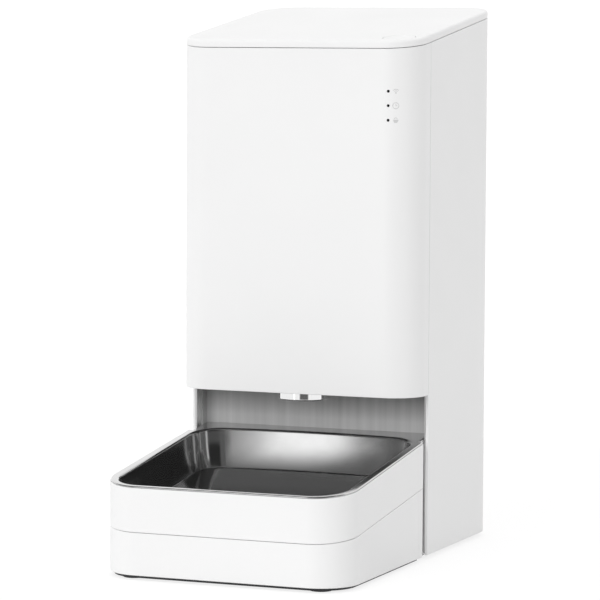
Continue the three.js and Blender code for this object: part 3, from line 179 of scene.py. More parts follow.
# %% [markdown]
# ## Skins
# A skin is a list of points and a list of faces. Rings joined one above the other make a cap or a tub, and
# a small section carried along an open run makes a wall that ends where the run ends.


# %% Join rings into a skin
def join_rings(rings, closed=True, caps=True):
    """Faces between rings of equally many points. Returns the points and faces."""
    count = len(rings[0])
    points = [point for ring in rings for point in ring]
    faces = []
    spans = count if closed else count - 1
    for at in range(len(rings) - 1):
        for step in range(spans):
            a, b = at * count + step, at * count + (step + 1) % count
            faces.append((a, b, b + count, a + count))
    if caps:
        faces.append(tuple(reversed(range(count))))
        faces.append(tuple(range((len(rings) - 1) * count, len(rings) * count)))
    return points, faces


def rings_of(plan, steps):
    """Rings of one plan; each step is an inset and a height rule."""
    return [[(x, y, height(y)) for x, y in plan(inset)] for inset, height in steps]


def sweep(run, section):
    """Carries a closed section of insets and heights along an open run and closes both ends."""
    rings = rings_of(run, section + section[:1])
    points, faces = join_rings(rings, closed=False, caps=False)
    count = len(rings[0])
    faces.append(tuple(at * count for at in range(len(section))))
    faces.append(tuple(at * count + count - 1 for at in reversed(range(len(section)))))
    return points, faces


# %% [markdown]
# ## Pieces
# A skin becomes an object of its own. Its doubled points are merged and its normals are turned outwards, and
# edges sharper than 35 degrees stay sharp. A soft edge comes from a bevel, because a mould leaves no knife
# edge, and a hole comes from a boolean that is applied at once, so that the bevel rounds its rim as well.

# %% Make an object of a skin
MERGE_DISTANCE = 0.002 * MM
SHARP_ANGLE = math.radians(35)


def finish_skin(name, work, finish):
    """Turns a bmesh into an object with smooth shading and sharp corners kept."""
    bmesh.ops.recalc_face_normals(work, faces=work.faces)
    mesh = bpy.data.meshes.new(name)
    work.to_mesh(mesh)
    work.free()
    mesh.shade_smooth()
    mesh.set_sharp_from_angle(angle=SHARP_ANGLE)
    mesh.materials.append(finish)
    piece = bpy.data.objects.new(name, mesh)
    bpy.context.scene.collection.objects.link(piece)
    return piece


def new_piece(name, skin, finish):
    """An object of a skin, with doubled points merged."""
    points, faces = skin
    draft = bpy.data.meshes.new(name)
    draft.from_pydata([place(*point) for point in points], [], faces)
    work = bmesh.new()
    work.from_mesh(draft)
    bpy.data.meshes.remove(draft)
    bmesh.ops.remove_doubles(work, verts=work.verts, dist=MERGE_DISTANCE)
    return finish_skin(name, work, finish)


def stand_for(piece, body, node_names):
    """Hangs the piece on its moving body in place of the solid nodes."""
    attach(piece, body)
    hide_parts(*node_names)


def soften(piece, width, segments=3, angle=30):
    """Rounds the hard edges as a mould does, and keeps the flat faces flat."""
    bevel = piece.modifiers.new("soft_edges", "BEVEL")
    bevel.width = width * MM
    bevel.segments = segments
    bevel.limit_method = "ANGLE"
    bevel.angle_limit = math.radians(angle)
    bevel.use_clamp_overlap = True
    keep_flat(piece)


def keep_flat(piece):
    """Weights normals by face area, so that large faces stay flat beside small rounded ones."""
    weigh = piece.modifiers.new("flat_faces", "WEIGHTED_NORMAL")
    weigh.keep_sharp = True
    weigh.weight = 80


def cut(piece, cutter):
    """Takes the cutter out of the piece for good."""
    boolean = piece.modifiers.new("cut", "BOOLEAN")
    boolean.object = cutter
    boolean.operation = "DIFFERENCE"
    boolean.solver = "EXACT"
    bpy.context.view_layer.update()
    depsgraph = bpy.context.evaluated_depsgraph_get()
    mesh = bpy.data.meshes.new_from_object(piece.evaluated_get(depsgraph))
    piece.modifiers.remove(boolean)
    old = piece.data
    piece.data = mesh
    bpy.data.meshes.remove(old)
    bpy.data.objects.remove(cutter)
    piece.data.set_sharp_from_angle(angle=SHARP_ANGLE)


# %% Put shapes together
def join_skins(*skins):
    """Several skins as one."""
    points, faces = [], []
    for more_points, more_faces in skins:
        start = len(points)
        points += more_points
        faces += [tuple(index + start for index in face) for face in more_faces]
    return points, faces


def bar(left, right, near, far, low, high):
    """A box whose top and bottom follow height rules."""
    corners = [(left, near), (right, near), (right, far), (left, far)]
    rings = [[(x, y, rule(y)) for x, y in corners] for rule in (low, high)]
    return join_rings(rings)


def turned(profile, cx, cy, steps=64, rule=level(0)):
    """Rings of a profile of radii and heights, one for each of its points, round an upright axis."""
    return [
        [(x, y, rule(y) + height) for x, y in circle(cx, cy, radius, steps)]
        for radius, height in profile
    ]


# %% [markdown]
# ## White shell plastic
# The shells are injection-moulded ABS with a fine satin surface. A flat white would look like paper, so the
# finish has three small things a real moulding has: a spark-eroded grain too fine to see one by one, a slow
# change in gloss, and a trace of tone where the melt flowed. The grain is a bump and never moves the surface.


# %% Start a finish
NOISE_SPREAD = (0.3, 0.7)


def grey(tone):
    """A neutral colour."""
    return (tone, tone, tone)


def start_finish(name, color, roughness, metallic=0.0):
    """A material with its main values set on the shader."""
    material = bpy.data.materials.new(name)
    material.use_nodes = True
    shader = material.node_tree.nodes["Principled BSDF"]
    shader.inputs["Base Color"].default_value = (*color, 1.0)
    shader.inputs["Roughness"].default_value = roughness
    shader.inputs["Metallic"].default_value = metallic
    return material


def steer(material, socket_name, output):
    """Links a node's output to an input of the material's shader."""
    tree = material.node_tree
    tree.links.new(output, tree.nodes["Principled BSDF"].inputs[socket_name])


def surface_noise(tree, scale, detail=3.0, stretch=(1.0, 1.0, 1.0)):
    """Noise on the object's own coordinates, which may be stretched into streaks."""
    where = tree.nodes.new("ShaderNodeTexCoord")
    mapping = tree.nodes.new("ShaderNodeMapping")
    mapping.inputs["Scale"].default_value = stretch
    noise = tree.nodes.new("ShaderNodeTexNoise")
    noise.inputs["Scale"].default_value = scale
    noise.inputs["Detail"].default_value = detail
    tree.links.new(where.outputs["Object"], mapping.inputs["Vector"])
    tree.links.new(mapping.outputs["Vector"], noise.inputs["Vector"])
    return noise.outputs["Fac"]


# %% Work with values in a node tree
def math_node(tree, operation, *values):
    """One math node; each value is a number or another node's output."""
    node = tree.nodes.new("ShaderNodeMath")
    node.operation = operation
    for socket, value in zip(node.inputs, values):
        if isinstance(value, (int, float)):
            socket.default_value = value
        else:
            tree.links.new(value, socket)
    return node.outputs[0]


def chain(tree, operation, first, *others):
    """One operation over several values in turn."""
    for other in others:
        first = math_node(tree, operation, first, other)
    return first


def range_node(tree, value, spread, result, curve="LINEAR"):
    """Carries a value from one spread of numbers to another."""
    span = tree.nodes.new("ShaderNodeMapRange")
    span.interpolation_type = curve
    span.inputs["From Min"].default_value, span.inputs["From Max"].default_value = spread
    span.inputs["To Min"].default_value, span.inputs["To Max"].default_value = result
    tree.links.new(value, span.inputs["Value"])
    return span.outputs["Result"]


# %% Vary a finish
def vary_gloss(material, low, high, **noise):
    """Roughness between two values, driven by a noise."""
    tree = material.node_tree
    gloss = range_node(tree, surface_noise(tree, **noise), NOISE_SPREAD, (low, high))
    steer(material, "Roughness", gloss)


def tone_by(material, value, dark, light):
    """Base colour between two tones, driven by a value."""
    tree = material.node_tree
    ramp = tree.nodes.new("ShaderNodeValToRGB")
    for element, position, tone in zip(ramp.color_ramp.elements, NOISE_SPREAD, (dark, light)):
        element.position = position
        element.color = (*tone, 1.0)
    tree.links.new(value, ramp.inputs["Fac"])
    steer(material, "Base Color", ramp.outputs["Color"])


def vary_tone(material, dark, light, **noise):
    """Base colour between two tones, driven by a noise."""
    tone_by(material, surface_noise(material.node_tree, **noise), dark, light)


def grain(material, strength, depth, **noise):
    """A bump of the given depth in millimetres, driven by a noise."""
    tree = material.node_tree
    bump = tree.nodes.new("ShaderNodeBump")
    bump.inputs["Strength"].default_value = strength
    bump.inputs["Distance"].default_value = depth * MM
    tree.links.new(surface_noise(tree, **noise), bump.inputs["Height"])
    steer(material, "Normal", bump.outputs["Normal"])


# %% Mix the shell white
def shell_plastic(name, tone):
    """Satin moulded plastic in a neutral tone."""
    material = start_finish(name, grey(tone), roughness=0.42)
    vary_tone(material, grey(tone - 0.008), grey(tone + 0.004), scale=18)
    vary_gloss(material, 0.38, 0.46, scale=35)
    grain(material, strength=0.12, depth=0.02, scale=2600, detail=2.0)
    return material


shell_white = shell_plastic("shell_white", 0.905)
inner_white = shell_plastic("inner_white", 0.74)
print("finishes so far:", len(bpy.data.materials))

# %% [markdown]
# ## Front cover
# The cover is a U in plan: a wide front, two 24 mm corners and short returns. It ends well above the bowl,
# and the open end shows its wall with a small lip turned in. A sweep of one section along the run gives the
# front, the wall thickness and the lip in one go. A round room is cut in the lip for the outlet.

# %% Sweep the front cover
LIP_REACH, LIP_RISE = 3.0, 1.6
EDGE_ROUND = 0.4
NOZZLE_Y, NOZZLE_ROOM, ROOM_REACH = 21.5, 18.8, 4.0
cover_section = [
    (0, level(COVER_BOTTOM)),
    (0, lid_seam(-SEAM_HALF)),
    (COVER_WALL, lid_seam(-SEAM_HALF)),
    (COVER_WALL, level(COVER_BOTTOM + LIP_RISE)),
    (COVER_WALL + LIP_REACH, level(COVER_BOTTOM + LIP_RISE)),
    (COVER_WALL + LIP_REACH, level(COVER_BOTTOM)),
]
front_cover = new_piece("cover_shell", sweep(cover_run, cover_section), shell_white)
room_profile = [(NOZZLE_ROOM, COVER_BOTTOM - ROOM_REACH), (NOZZLE_ROOM, COVER_BOTTOM + ROOM_REACH)]
room = join_rings(turned(room_profile, 0, NOZZLE_Y))
cut(front_cover, new_piece("nozzle_room", room, shell_white))
soften(front_cover, EDGE_ROUND)
stand_for(front_cover, "case", ["front_cover"])
print("cover faces:", len(front_cover.data.polygons))

# %% [markdown]
# ## Rear shell
# The rest of the tower is one U-shaped shell, open to the front below the cover, so its 2.2 mm edges show on
# both sides of the feeding recess. Two thin laps run up behind the seam, as they do where two halves clip
# together, so that no light passes through the joint. A round hole in the back takes the power inlet.

# %% Sweep the rear shell
shell_section = [
    (0, level(SHELL_BOTTOM)),
    (0, lid_seam(-SEAM_HALF)),
    (SHELL_WALL, lid_seam(-SEAM_HALF)),
    (SHELL_WALL, level(SHELL_BOTTOM)),
]
rear_shell = new_piece("rear_shell", sweep(shell_run, shell_section), shell_white)
INLET_RADIUS, INLET_STEPS, INLET_REACH = 5.3, 48, 6.0
inlet_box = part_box("power_inlet")
inlet_x = (inlet_box[0].x + inlet_box[1].x) / 2 / MM
inlet_z = (inlet_box[0].z + inlet_box[1].z) / 2 / MM
inlet_ring = circle(inlet_x, inlet_z, INLET_RADIUS, INLET_STEPS)
hole_rings = [
    [(x, y, z) for x, z in inlet_ring]
    for y in (TOWER_REAR - INLET_REACH, TOWER_REAR + INLET_REACH)
]
cut(rear_shell, new_piece("inlet_cutter", join_rings(hole_rings), shell_white))
soften(rear_shell, EDGE_ROUND)
stand_for(rear_shell, "case", ["body_shell"])
print("rear shell faces:", len(rear_shell.data.polygons))

# %% Stand the laps behind the seam
LAP_INNER, LAP_OUTER, LAP_FRONT, LAP_REAR, LAP_LOW, LAP_DROP = 86.1, 87.2, 28.05, 37.05, 128.0, 6.3
ROOT_OUTER, ROOT_FRONT, ROOT_REAR, ROOT_LOW, ROOT_DROP = 88.4, 31.3, 36.9, 128.1, 6.4
laps = []
for side in (-1, 1):
    blade = sorted((side * LAP_INNER, side * LAP_OUTER))
    root = sorted((side * LAP_INNER, side * ROOT_OUTER))
    laps.append(bar(*blade, LAP_FRONT, LAP_REAR, level(LAP_LOW), lid_seam(-LAP_DROP)))
    laps.append(bar(*root, ROOT_FRONT, ROOT_REAR, level(ROOT_LOW), lid_seam(-ROOT_DROP)))
shell_laps = new_piece("shell_laps", join_skins(*laps), shell_white)
stand_for(shell_laps, "case", ["body_shell"])
print("lap thickness:", round(LAP_OUTER - LAP_INNER, 2), "mm")

# %% [markdown]
# ## Lid
# The lid is a shallow cap that follows the slope of the tower's top. Its outer edge is rounded over with a
# radius of about 2 mm, which draws a soft bright line round the top. It has a round hole for the feed button.

# %% Raise the lid
LID_HIGH, LID_PLATE, LID_ROUND, ROUND_STEPS = 5.3, 1.8, 1.9, 8
BUTTON_X, BUTTON_Y, BUTTON_RADIUS, BUTTON_GAP = 72.0, 15.5, 11.2, 0.5
HOLE_LOW, HOLE_HIGH = -3.0, 12.0
LID_EDGE_ROUND, LID_EDGE_ANGLE = 0.25, 50
lid_steps = [
    (SHELL_WALL, lid_seam(LID_HIGH - LID_PLATE)),
    (SHELL_WALL, lid_seam(SEAM_HALF)),
    (0, lid_seam(SEAM_HALF)),
]
for inset, height in arc(LID_ROUND, LID_HIGH - LID_ROUND, LID_ROUND, 2, 1, ROUND_STEPS):
    lid_steps.append((inset, lid_seam(height)))
lid_cap = new_piece("lid_cap", join_rings(rings_of(tower_plan, lid_steps)), shell_white)
hole_profile = [(BUTTON_RADIUS + BUTTON_GAP, HOLE_LOW), (BUTTON_RADIUS + BUTTON_GAP, HOLE_HIGH)]
hole = turned(hole_profile, BUTTON_X, BUTTON_Y, rule=lid_seam(0))
cut(lid_cap, new_piece("button_hole", join_rings(hole), shell_white))
soften(lid_cap, LID_EDGE_ROUND, segments=2, angle=LID_EDGE_ANGLE)
stand_for(lid_cap, "lid", ["lid"])
print("lid faces:", len(lid_cap.data.polygons))

# %% [markdown]
# ## Feed button
# A round dished cap sits flush in the lid. The dish is what makes it readable: its far side catches the light
# and its near side goes a little grey. It is turned like a lathe part and leaned to the slope of the lid. Its
# profile starts and ends a hundredth of a millimetre from the axis, where a tiny flat face closes it.

# %% Turn the feed button
ON_AXIS = 0.01
STEM_TIP, STEM_RADIUS, STEM_LOW = 2.3, 2.5, -5.0
CAP_LOW, CAP_CHAMFER, CAP_EDGE, CAP_ROUND, CAP_STEPS = 3.3, 0.3, 4.95, 0.35, 4
DISH, DISH_RIM, DISH_DROP, DISH_STEPS = 0.8, 0.8, 0.1, 8
profile = [
    (ON_AXIS, STEM_LOW),
    (STEM_TIP, STEM_LOW),
    (STEM_RADIUS, STEM_LOW + CAP_CHAMFER),
    (STEM_RADIUS, CAP_LOW),
    (BUTTON_RADIUS - CAP_CHAMFER, CAP_LOW),
    (BUTTON_RADIUS, CAP_LOW + CAP_CHAMFER),
    *arc(BUTTON_RADIUS - CAP_ROUND, CAP_EDGE, CAP_ROUND, 0, 1, CAP_STEPS),
]
for step in range(1, DISH_STEPS + 1):
    share = 1 - step / DISH_STEPS
    radius = ON_AXIS + (BUTTON_RADIUS - DISH_RIM) * share
    profile.append((radius, LID_HIGH - DISH_DROP - DISH * (1 - share ** 2)))
button_rings = turned(profile, BUTTON_X, BUTTON_Y, rule=lid_seam(0))
button = new_piece("feed_button_cap", join_rings(button_rings), shell_white)
keep_flat(button)
stand_for(button, "feed_button", ["feed_button"])
print("button dish:", DISH, "mm deep")

# %% [markdown]
# ## Wedge base
# The base is a shallow box whose top slopes up towards the tower. Behind its wide sides a narrower tongue
# runs back between the tower's walls. Two rails on its deck guide the tray when it is drawn forwards.

# %% Build the base
BASE_WALL, DECK, BASE_ROUND = 2.5, 2.5, 0.5
base_steps = [
    (BASE_WALL, tray_seam(-SEAM_HALF - DECK)),
    (BASE_WALL, level(SHELL_BOTTOM)),
    (0, level(SHELL_BOTTOM)),
    (0, tray_seam(-SEAM_HALF)),
]
wedge_base = new_piece("wedge_base", join_rings(rings_of(base_plan, base_steps)), shell_white)
soften(wedge_base, BASE_ROUND)
stand_for(wedge_base, "case", ["base"])
print("base faces:", len(wedge_base.data.polygons))

# %% Lay the rails
RAIL_X, RAIL_HALF, RAIL_FRONT, RAIL_REAR = 55.0, 2.0, -99.0, 36.6
RAIL_ROOT, RAIL_RISE, RAIL_ROUND = -1.2, 0.95, 0.2


def rail_bar(side, grow, far, low, high):
    """A bar along one rail, grown a little all round for the groove that runs on it."""
    left, right = side * RAIL_X - RAIL_HALF - grow, side * RAIL_X + RAIL_HALF + grow
    return bar(left, right, RAIL_FRONT - grow, far, tray_seam(low), tray_seam(high))


rails = [rail_bar(side, 0, RAIL_REAR, RAIL_ROOT, RAIL_RISE) for side in (-1, 1)]
base_rails = new_piece("base_rails", join_skins(*rails), shell_white)
soften(base_rails, RAIL_ROUND, segments=2)
stand_for(base_rails, "case", ["base"])
print("rails stand", RAIL_RISE, "mm above the seam")

# %% [markdown]
# ## Bowl plan
# The bowl's mouth is a rounded rectangle, but its rear edge bows outwards by a few millimetres. That bow is
# small in plan and large in the reflections: it gathers the light into one soft patch in the middle of the
# rear wall. So the plan takes its bow as a share: full on the wall, less across the floor, none on the tray.

# %% Draw the bowl's plan
MOUTH_HALF, MOUTH_FRONT, MOUTH_REAR = 82.8, -124.3, 33.0
FRONT_ROUND, REAR_ROUND, BOW = 21.0, 18.0, 4.5
FRONT_LEAST, REAR_LEAST, CORNER_SHARE = 9.0, 8.0, 0.3
EDGE_STEPS = 24


def along(start, end, steps):
    """Points strictly between two ends."""
    return [
        (start[0] + (end[0] - start[0]) * step / steps, start[1] + (end[1] - start[1]) * step / steps)
        for step in range(1, steps)
    ]


def bowl_plan(offset, bow=1.0):
    """The mouth grown by an offset; a negative offset lies further in."""
    half, near, far = MOUTH_HALF + offset, MOUTH_FRONT - offset, MOUTH_REAR + offset
    shrink = offset if offset > 0 else offset * CORNER_SHARE
    front, rear = max(FRONT_ROUND + shrink, FRONT_LEAST), max(REAR_ROUND + shrink, REAR_LEAST)
    outline = arc(half - front, near + front, front, -1, 0)
    outline += along((half, near + front), (half, far - rear), EDGE_STEPS)
    outline += arc(half - rear, far - rear, rear, 0, 1)
    outline += along((half - rear, far), (-half + rear, far), EDGE_STEPS)
    outline += arc(-half + rear, far - rear, rear, 1, 2)
    outline += along((-half, far - rear), (-half, near + front), EDGE_STEPS)
    outline += arc(-half + front, near + front, front, 2, 3)
    middle = (near + far) / 2
    return [(x, y - bow * BOW * (x / MOUTH_HALF) ** 2 if y > middle else y) for x, y in outline]


print("points round the bowl:", len(bowl_plan(0)))

# %% [markdown]
# ## Steel bowl
# A bowl like this is pressed from one sheet. Its rim covers the whole tray and rolls over into a wall that
# leans in a little at the top and more and more towards the floor, which it meets in a small fillet. The
# floor is parallel to the rim. Rim and dish have different plans, so the rim's flat ring is filled between
# two edge loops and all the rest is rings. Polished steel shows every fault of a surface, so the roll, the
# wall and the fillet get many rings.

# %% Shape the side of the bowl
RIM_EDGE, RIM_SHEET, SHEET = 0.5, 1.0, 0.8
ROLL, BOWL_DEEP = 2.0, 27.0
ROLL_STEPS, FILLET_STEPS = 8, 14
WALL_DEPTHS = [*range(3, 24, 2), 24.8, 26.2]
TOP_LEAN, LEAN_FROM, LEAN_GROWTH = 7.5, 9.0, 0.8


def wall_lean(depth):
    """How far the wall leans in at a depth: a little at the top, and more the nearer the floor."""
    return math.radians(TOP_LEAN + LEAN_GROWTH * max(depth - LEAN_FROM, 0))


def dish_profile():
    """Insets from the mouth, depths under the rim and turns from flat, from the rim's edge to the floor."""
    points = []
    for step in range(ROLL_STEPS + 1):
        turn = (math.pi / 2 - wall_lean(ROLL)) * step / ROLL_STEPS
        points.append((ROLL * math.sin(turn) - ROLL, ROLL * (1 - math.cos(turn)), turn))
    inset, depth = points[-1][:2]
    for deeper in WALL_DEPTHS:
        inset += (deeper - depth) * math.tan(wall_lean((depth + deeper) / 2))
        depth = deeper
        points.append((inset, depth, math.pi / 2 - wall_lean(depth)))
    low = wall_lean(depth)
    fillet = (BOWL_DEEP - depth) / (1 - math.sin(low))
    for step in range(1, FILLET_STEPS + 1):
        lean = low + (math.pi / 2 - low) * step / FILLET_STEPS
        across = fillet * (math.cos(low) - math.cos(lean))
        down = fillet * (math.sin(lean) - math.sin(low))
        points.append((inset + across, depth + down, math.pi / 2 - lean))
    return points


print("wall leans", [round(math.degrees(wall_lean(depth)), 1) for depth in WALL_DEPTHS[::4]], "degrees")

# %% Press the bowl
FLOOR_SHARES, FLOOR_LEFT = (0.35, 0.7), 14.0
RIM_ROUND, RIM_UNDERCUT, RIM_CHAMFER = 0.6, 0.1, 0.15
RIM_ROUND_SHARES = [(0, 1), (2 / 15, 7 / 12), (1 / 2, 1 / 6), (1, 0)]


def dish_rings(shift):
    """Rings of one side of the sheet, moved off the inner side by a shift, and two more across the floor."""
    rings = []
    for inset, depth, turn in dish_profile():
        rule = tray_top(-depth - shift * math.cos(turn))
        rings.append([(x, y, rule(y)) for x, y in bowl_plan(shift * math.sin(turn) - inset)])
    floor_inset = dish_profile()[-1][0]
    for share in FLOOR_SHARES:
        inset = floor_inset + (MOUTH_HALF - floor_inset - FLOOR_LEFT) * share
        rule = tray_top(-BOWL_DEEP - shift)
        rings.append([(x, y, rule(y)) for x, y in bowl_plan(-inset, 1 - share)])
    return rings


rim_steps = [
    (RIM_EDGE + RIM_UNDERCUT, tray_top(-RIM_SHEET)),
    (RIM_EDGE, tray_top(-RIM_SHEET + RIM_CHAMFER)),
]
for across, down in RIM_ROUND_SHARES:
    rim_steps.append((RIM_EDGE + RIM_ROUND * across, tray_top(-RIM_ROUND * down)))
print("rings in the dish:", len(dish_rings(0)))

# %% [markdown]
# ## Metal finishes
# Polished steel is never one even mirror: its gloss changes a little along the direction of polishing, and a
# very shallow grain blurs what it reflects. Shafts and screws are turned, so theirs is duller and runs
# across. One function makes them all, with the streaks as a stretch of the noise.


# %% Mix the steel
def steel_finish(name, tone, roughness, streak=(1.0, 1.0, 1.0)):
    """A metal of the given tone, with its roughness between two values."""
    material = start_finish(name, (tone, tone, tone * 1.005), roughness[0], metallic=1.0)
    vary_gloss(material, *roughness, scale=60, detail=6.0, stretch=streak)
    vary_tone(material, grey(tone - 0.02), grey(tone + 0.02), scale=25, detail=4.0)
    grain(material, strength=0.006, depth=0.003, scale=250, stretch=streak)
    return material


bowl_steel = steel_finish("bowl_steel", tone=0.62, roughness=(0.1, 0.14), streak=(1.0, 6.0, 1.0))
hard_steel = steel_finish("hard_steel", tone=0.5, roughness=(0.25, 0.38), streak=(1.0, 1.0, 8.0))
chrome = steel_finish("nozzle_chrome", tone=0.86, roughness=(0.04, 0.08))
print("finishes so far:", len(bpy.data.materials))

# %% [markdown]
# ## Filling a flat ring
# The rim is the first piece that needs faces between two outlines with different numbers of points. A bmesh
# keeps the rows of vertices by name, and Blender's triangle fill closes the ring between two rows. All of
# those triangles lie in one plane, so they don't show in the shading.


# %% Build with rows of vertices
def add_skin(work, rings, cap_first=False, cap_last=False):
    """Adds joined rings to a bmesh and returns the vertices of each ring."""
    rows = [[work.verts.new(place(*point)) for point in ring] for ring in rings]
    for low, high in zip(rows, rows[1:]):
        for at in range(len(low)):
            after = (at + 1) % len(low)
            work.faces.new((low[at], low[after], high[after], high[at]))
    if cap_first:
        work.faces.new(list(reversed(rows[0])))
    if cap_last:
        work.faces.new(rows[-1])
    return rows


def loop_edges(work, row):
    """The edges of a closed row of vertices."""
    return [work.edges.get((row[at], row[(at + 1) % len(row)])) for at in range(len(row))]


def fill_between(work, outer_row, inner_row):
    """Closes the flat ring between two rows."""
    edges = loop_edges(work, outer_row) + loop_edges(work, inner_row)
    bmesh.ops.triangle_fill(work, use_beauty=True, edges=edges, normal=Vector((0, 0, 1)))


# %% Form the bowl
steel_work = bmesh.new()
rim_rows = add_skin(steel_work, rings_of(base_plan, rim_steps))
inside_rows = add_skin(steel_work, dish_rings(0), cap_last=True)
outside_rows = add_skin(steel_work, dish_rings(SHEET), cap_last=True)
fill_between(steel_work, rim_rows[-1], inside_rows[0])
fill_between(steel_work, rim_rows[0], outside_rows[0])
bowl = finish_skin("pressed_bowl", steel_work, bowl_steel)
keep_flat(bowl)
stand_for(bowl, "bowl", ["steel_bowl"])
print("bowl faces:", len(bowl.data.polygons))

# %% [markdown]
# ## Bowl tray
# The tray is the thick white frame under the steel rim. Its upper edge stops a hair below the rim, which
# leaves the thin grey line all round. Two grooves underneath run on the rails of the base.

# %% Shape the tray
RIM_GAP, CAVITY_GAP, TRAY_FLOOR = 0.3, 2.5, 2.2
TRAY_ROUND, TRAY_SOFT = 0.25, 0.07
GROOVE_GAP, GROOVE_END, GROOVE_LOW, GROOVE_RISE = 0.5, 60.0, -3.0, 1.25
tray_high = -RIM_SHEET - RIM_GAP
tray_steps = [
    (0, tray_seam(SEAM_HALF)),
    (0, tray_top(tray_high - TRAY_ROUND)),
    (TRAY_SOFT, tray_top(tray_high - TRAY_SOFT)),
    (TRAY_ROUND, tray_top(tray_high)),
]
cavity_steps = [(CAVITY_GAP, tray_top(tray_high)), (CAVITY_GAP, tray_seam(SEAM_HALF + TRAY_FLOOR))]
tray_work = bmesh.new()
outer_rows = add_skin(tray_work, rings_of(base_plan, tray_steps), cap_first=True)
cavity_rings = [[(x, y, rule(y)) for x, y in bowl_plan(offset, 0)] for offset, rule in cavity_steps]
inner_rows = add_skin(tray_work, cavity_rings, cap_last=True)
fill_between(tray_work, outer_rows[-1], inner_rows[0])
tray = finish_skin("tray_frame", tray_work, shell_white)
for side in (-1, 1):
    groove = rail_bar(side, GROOVE_GAP, GROOVE_END, GROOVE_LOW, GROOVE_RISE)
    cut(tray, new_piece("groove_cutter", groove, shell_white))
keep_flat(tray)
stand_for(tray, "tray", ["bowl_tray"])
print("tray faces:", len(tray.data.polygons))

# %% [markdown]
# ## Chrome outlet
# The outlet is a short plated tube. Chrome shows nothing but its surroundings, so the shape has to be clean:
# small rounds at the mouth, a true cylinder, and very little roughness with a few fine wipes. A ring right
# above the lip keeps the lip's round out of the wall's shading, and the flange is flat behind the cover.

# %% Turn the outlet
NOZZLE_RADIUS, NOZZLE_WALL, NOZZLE_STEPS = 18.5, 2.0, 96
NOZZLE_LOW, NOZZLE_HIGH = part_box("outlet_nozzle")[0].z / MM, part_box("outlet_nozzle")[1].z / MM
LIP_ROUND, LIP_STEPS, ABOVE_LIP = NOZZLE_WALL / 2, 12, 0.2
FLANGE_RADIUS, FLANGE_LOW, FLANGE_GAP = 22.0, 120.7, 0.3
bore = NOZZLE_RADIUS - NOZZLE_WALL
lip_top = NOZZLE_LOW + LIP_ROUND
nozzle_profile = [
    (bore, NOZZLE_HIGH),
    *arc(NOZZLE_RADIUS - LIP_ROUND, lip_top, LIP_ROUND, 2, 4, LIP_STEPS),
    (NOZZLE_RADIUS, lip_top + ABOVE_LIP),
    (NOZZLE_RADIUS, FLANGE_LOW),
    (FLANGE_RADIUS, FLANGE_LOW),
    (FLANGE_RADIUS, NOZZLE_HIGH),
    (bore, NOZZLE_HIGH),
]
nozzle_rings = turned(nozzle_profile, 0, NOZZLE_Y, NOZZLE_STEPS)
nozzle_rings = [[(x, max(y, COVER_WALL + FLANGE_GAP), z) for x, y, z in ring] for ring in nozzle_rings]
nozzle = new_piece("outlet_tube", join_rings(nozzle_rings, caps=False), chrome)
keep_flat(nozzle)
stand_for(nozzle, "case", ["outlet_nozzle"])
print("outlet faces:", len(nozzle.data.polygons))

# %% [markdown]
# ## Marks beside the lights
# Three smoked light pipes show as black dots, and each has a pale printed sign: radio arcs, a clock for the
# meals, and a dish. They are thin ink, so they are strips laid on the rounded corner of the cover a few
# hundredths of a millimetre above it. Distances along the corner are wrapped round its radius.

# %% Lay ink on the corner
INK_LIFT = 0.03


def on_corner(along_face, height, lift=INK_LIFT):
    """A spot measured along the front face, carried round the corner when it runs past the flat."""
    flat = TOWER_HALF - TOWER_CORNER
    if along_face <= flat:
        return (along_face, -lift, height)
    angle = (along_face - flat) / TOWER_CORNER
    radius = TOWER_CORNER + lift
    return (flat + radius * math.sin(angle), TOWER_CORNER - radius * math.cos(angle), height)


def ink_line(points, width, closed=False):
    """A strip of ink of even width along points on the face."""
    left, right = [], []
    total = len(points)
    for at, (x, z) in enumerate(points):
        before = points[at - 1] if closed or at > 0 else points[at]
        after = points[(at + 1) % total] if closed or at < total - 1 else points[at]
        dx, dz = after[0] - before[0], after[1] - before[1]
        length = math.hypot(dx, dz) or 1
        nx, nz = -dz / length * width / 2, dx / length * width / 2
        left.append(on_corner(x + nx, z + nz))
        right.append(on_corner(x - nx, z - nz))
    spans = total if closed else total - 1
    faces = [(at, (at + 1) % total, total + (at + 1) % total, total + at) for at in range(spans)]
    return left + right, faces


def ring_points(cx, cz, radius, start=0.0, end=1.0, steps=24):
    """Points on a ring or part of one, angles as shares of a turn."""
    points = arc(cx, cz, radius, 4 * start, 4 * end, steps)
    return points[:-1] if end - start >= 1 else points


# %% Draw the three signs
LIGHT_X, LIGHT_HEIGHTS, SIGN_X = 69.9, (328.2, 318.3, 308.3), 75.2
SIGN_LINE, HAND_LINE, DOT_LINE = 0.42, 0.4, 0.5
RADIO_DROP, RADIO_DOT, RADIO_ARCS, RADIO_SPREAD = 1.1, 0.3, (1.4, 2.5), (0.11, 0.39)
CLOCK_RADIUS, HOUR_HAND, MINUTE_HAND = 2.1, 1.0, (0.6, 1.3)
FOOD_RISE, FOOD_RADIUS, PART_STEPS = 0.7, 1.0, 12
DISH_STRIPS = ((2.0, 0.1, 0.45), (1.5, -0.6, 0.9), (1.1, -1.4, 0.7))


def radio_skin(height):
    """A dot with two arcs over it."""
    skins = [ink_line(ring_points(SIGN_X, height - RADIO_DROP, RADIO_DOT), DOT_LINE, True)]
    for radius in RADIO_ARCS:
        bow = ring_points(SIGN_X, height - RADIO_DROP, radius, *RADIO_SPREAD, PART_STEPS)
        skins.append(ink_line(bow, SIGN_LINE))
    return join_skins(*skins)


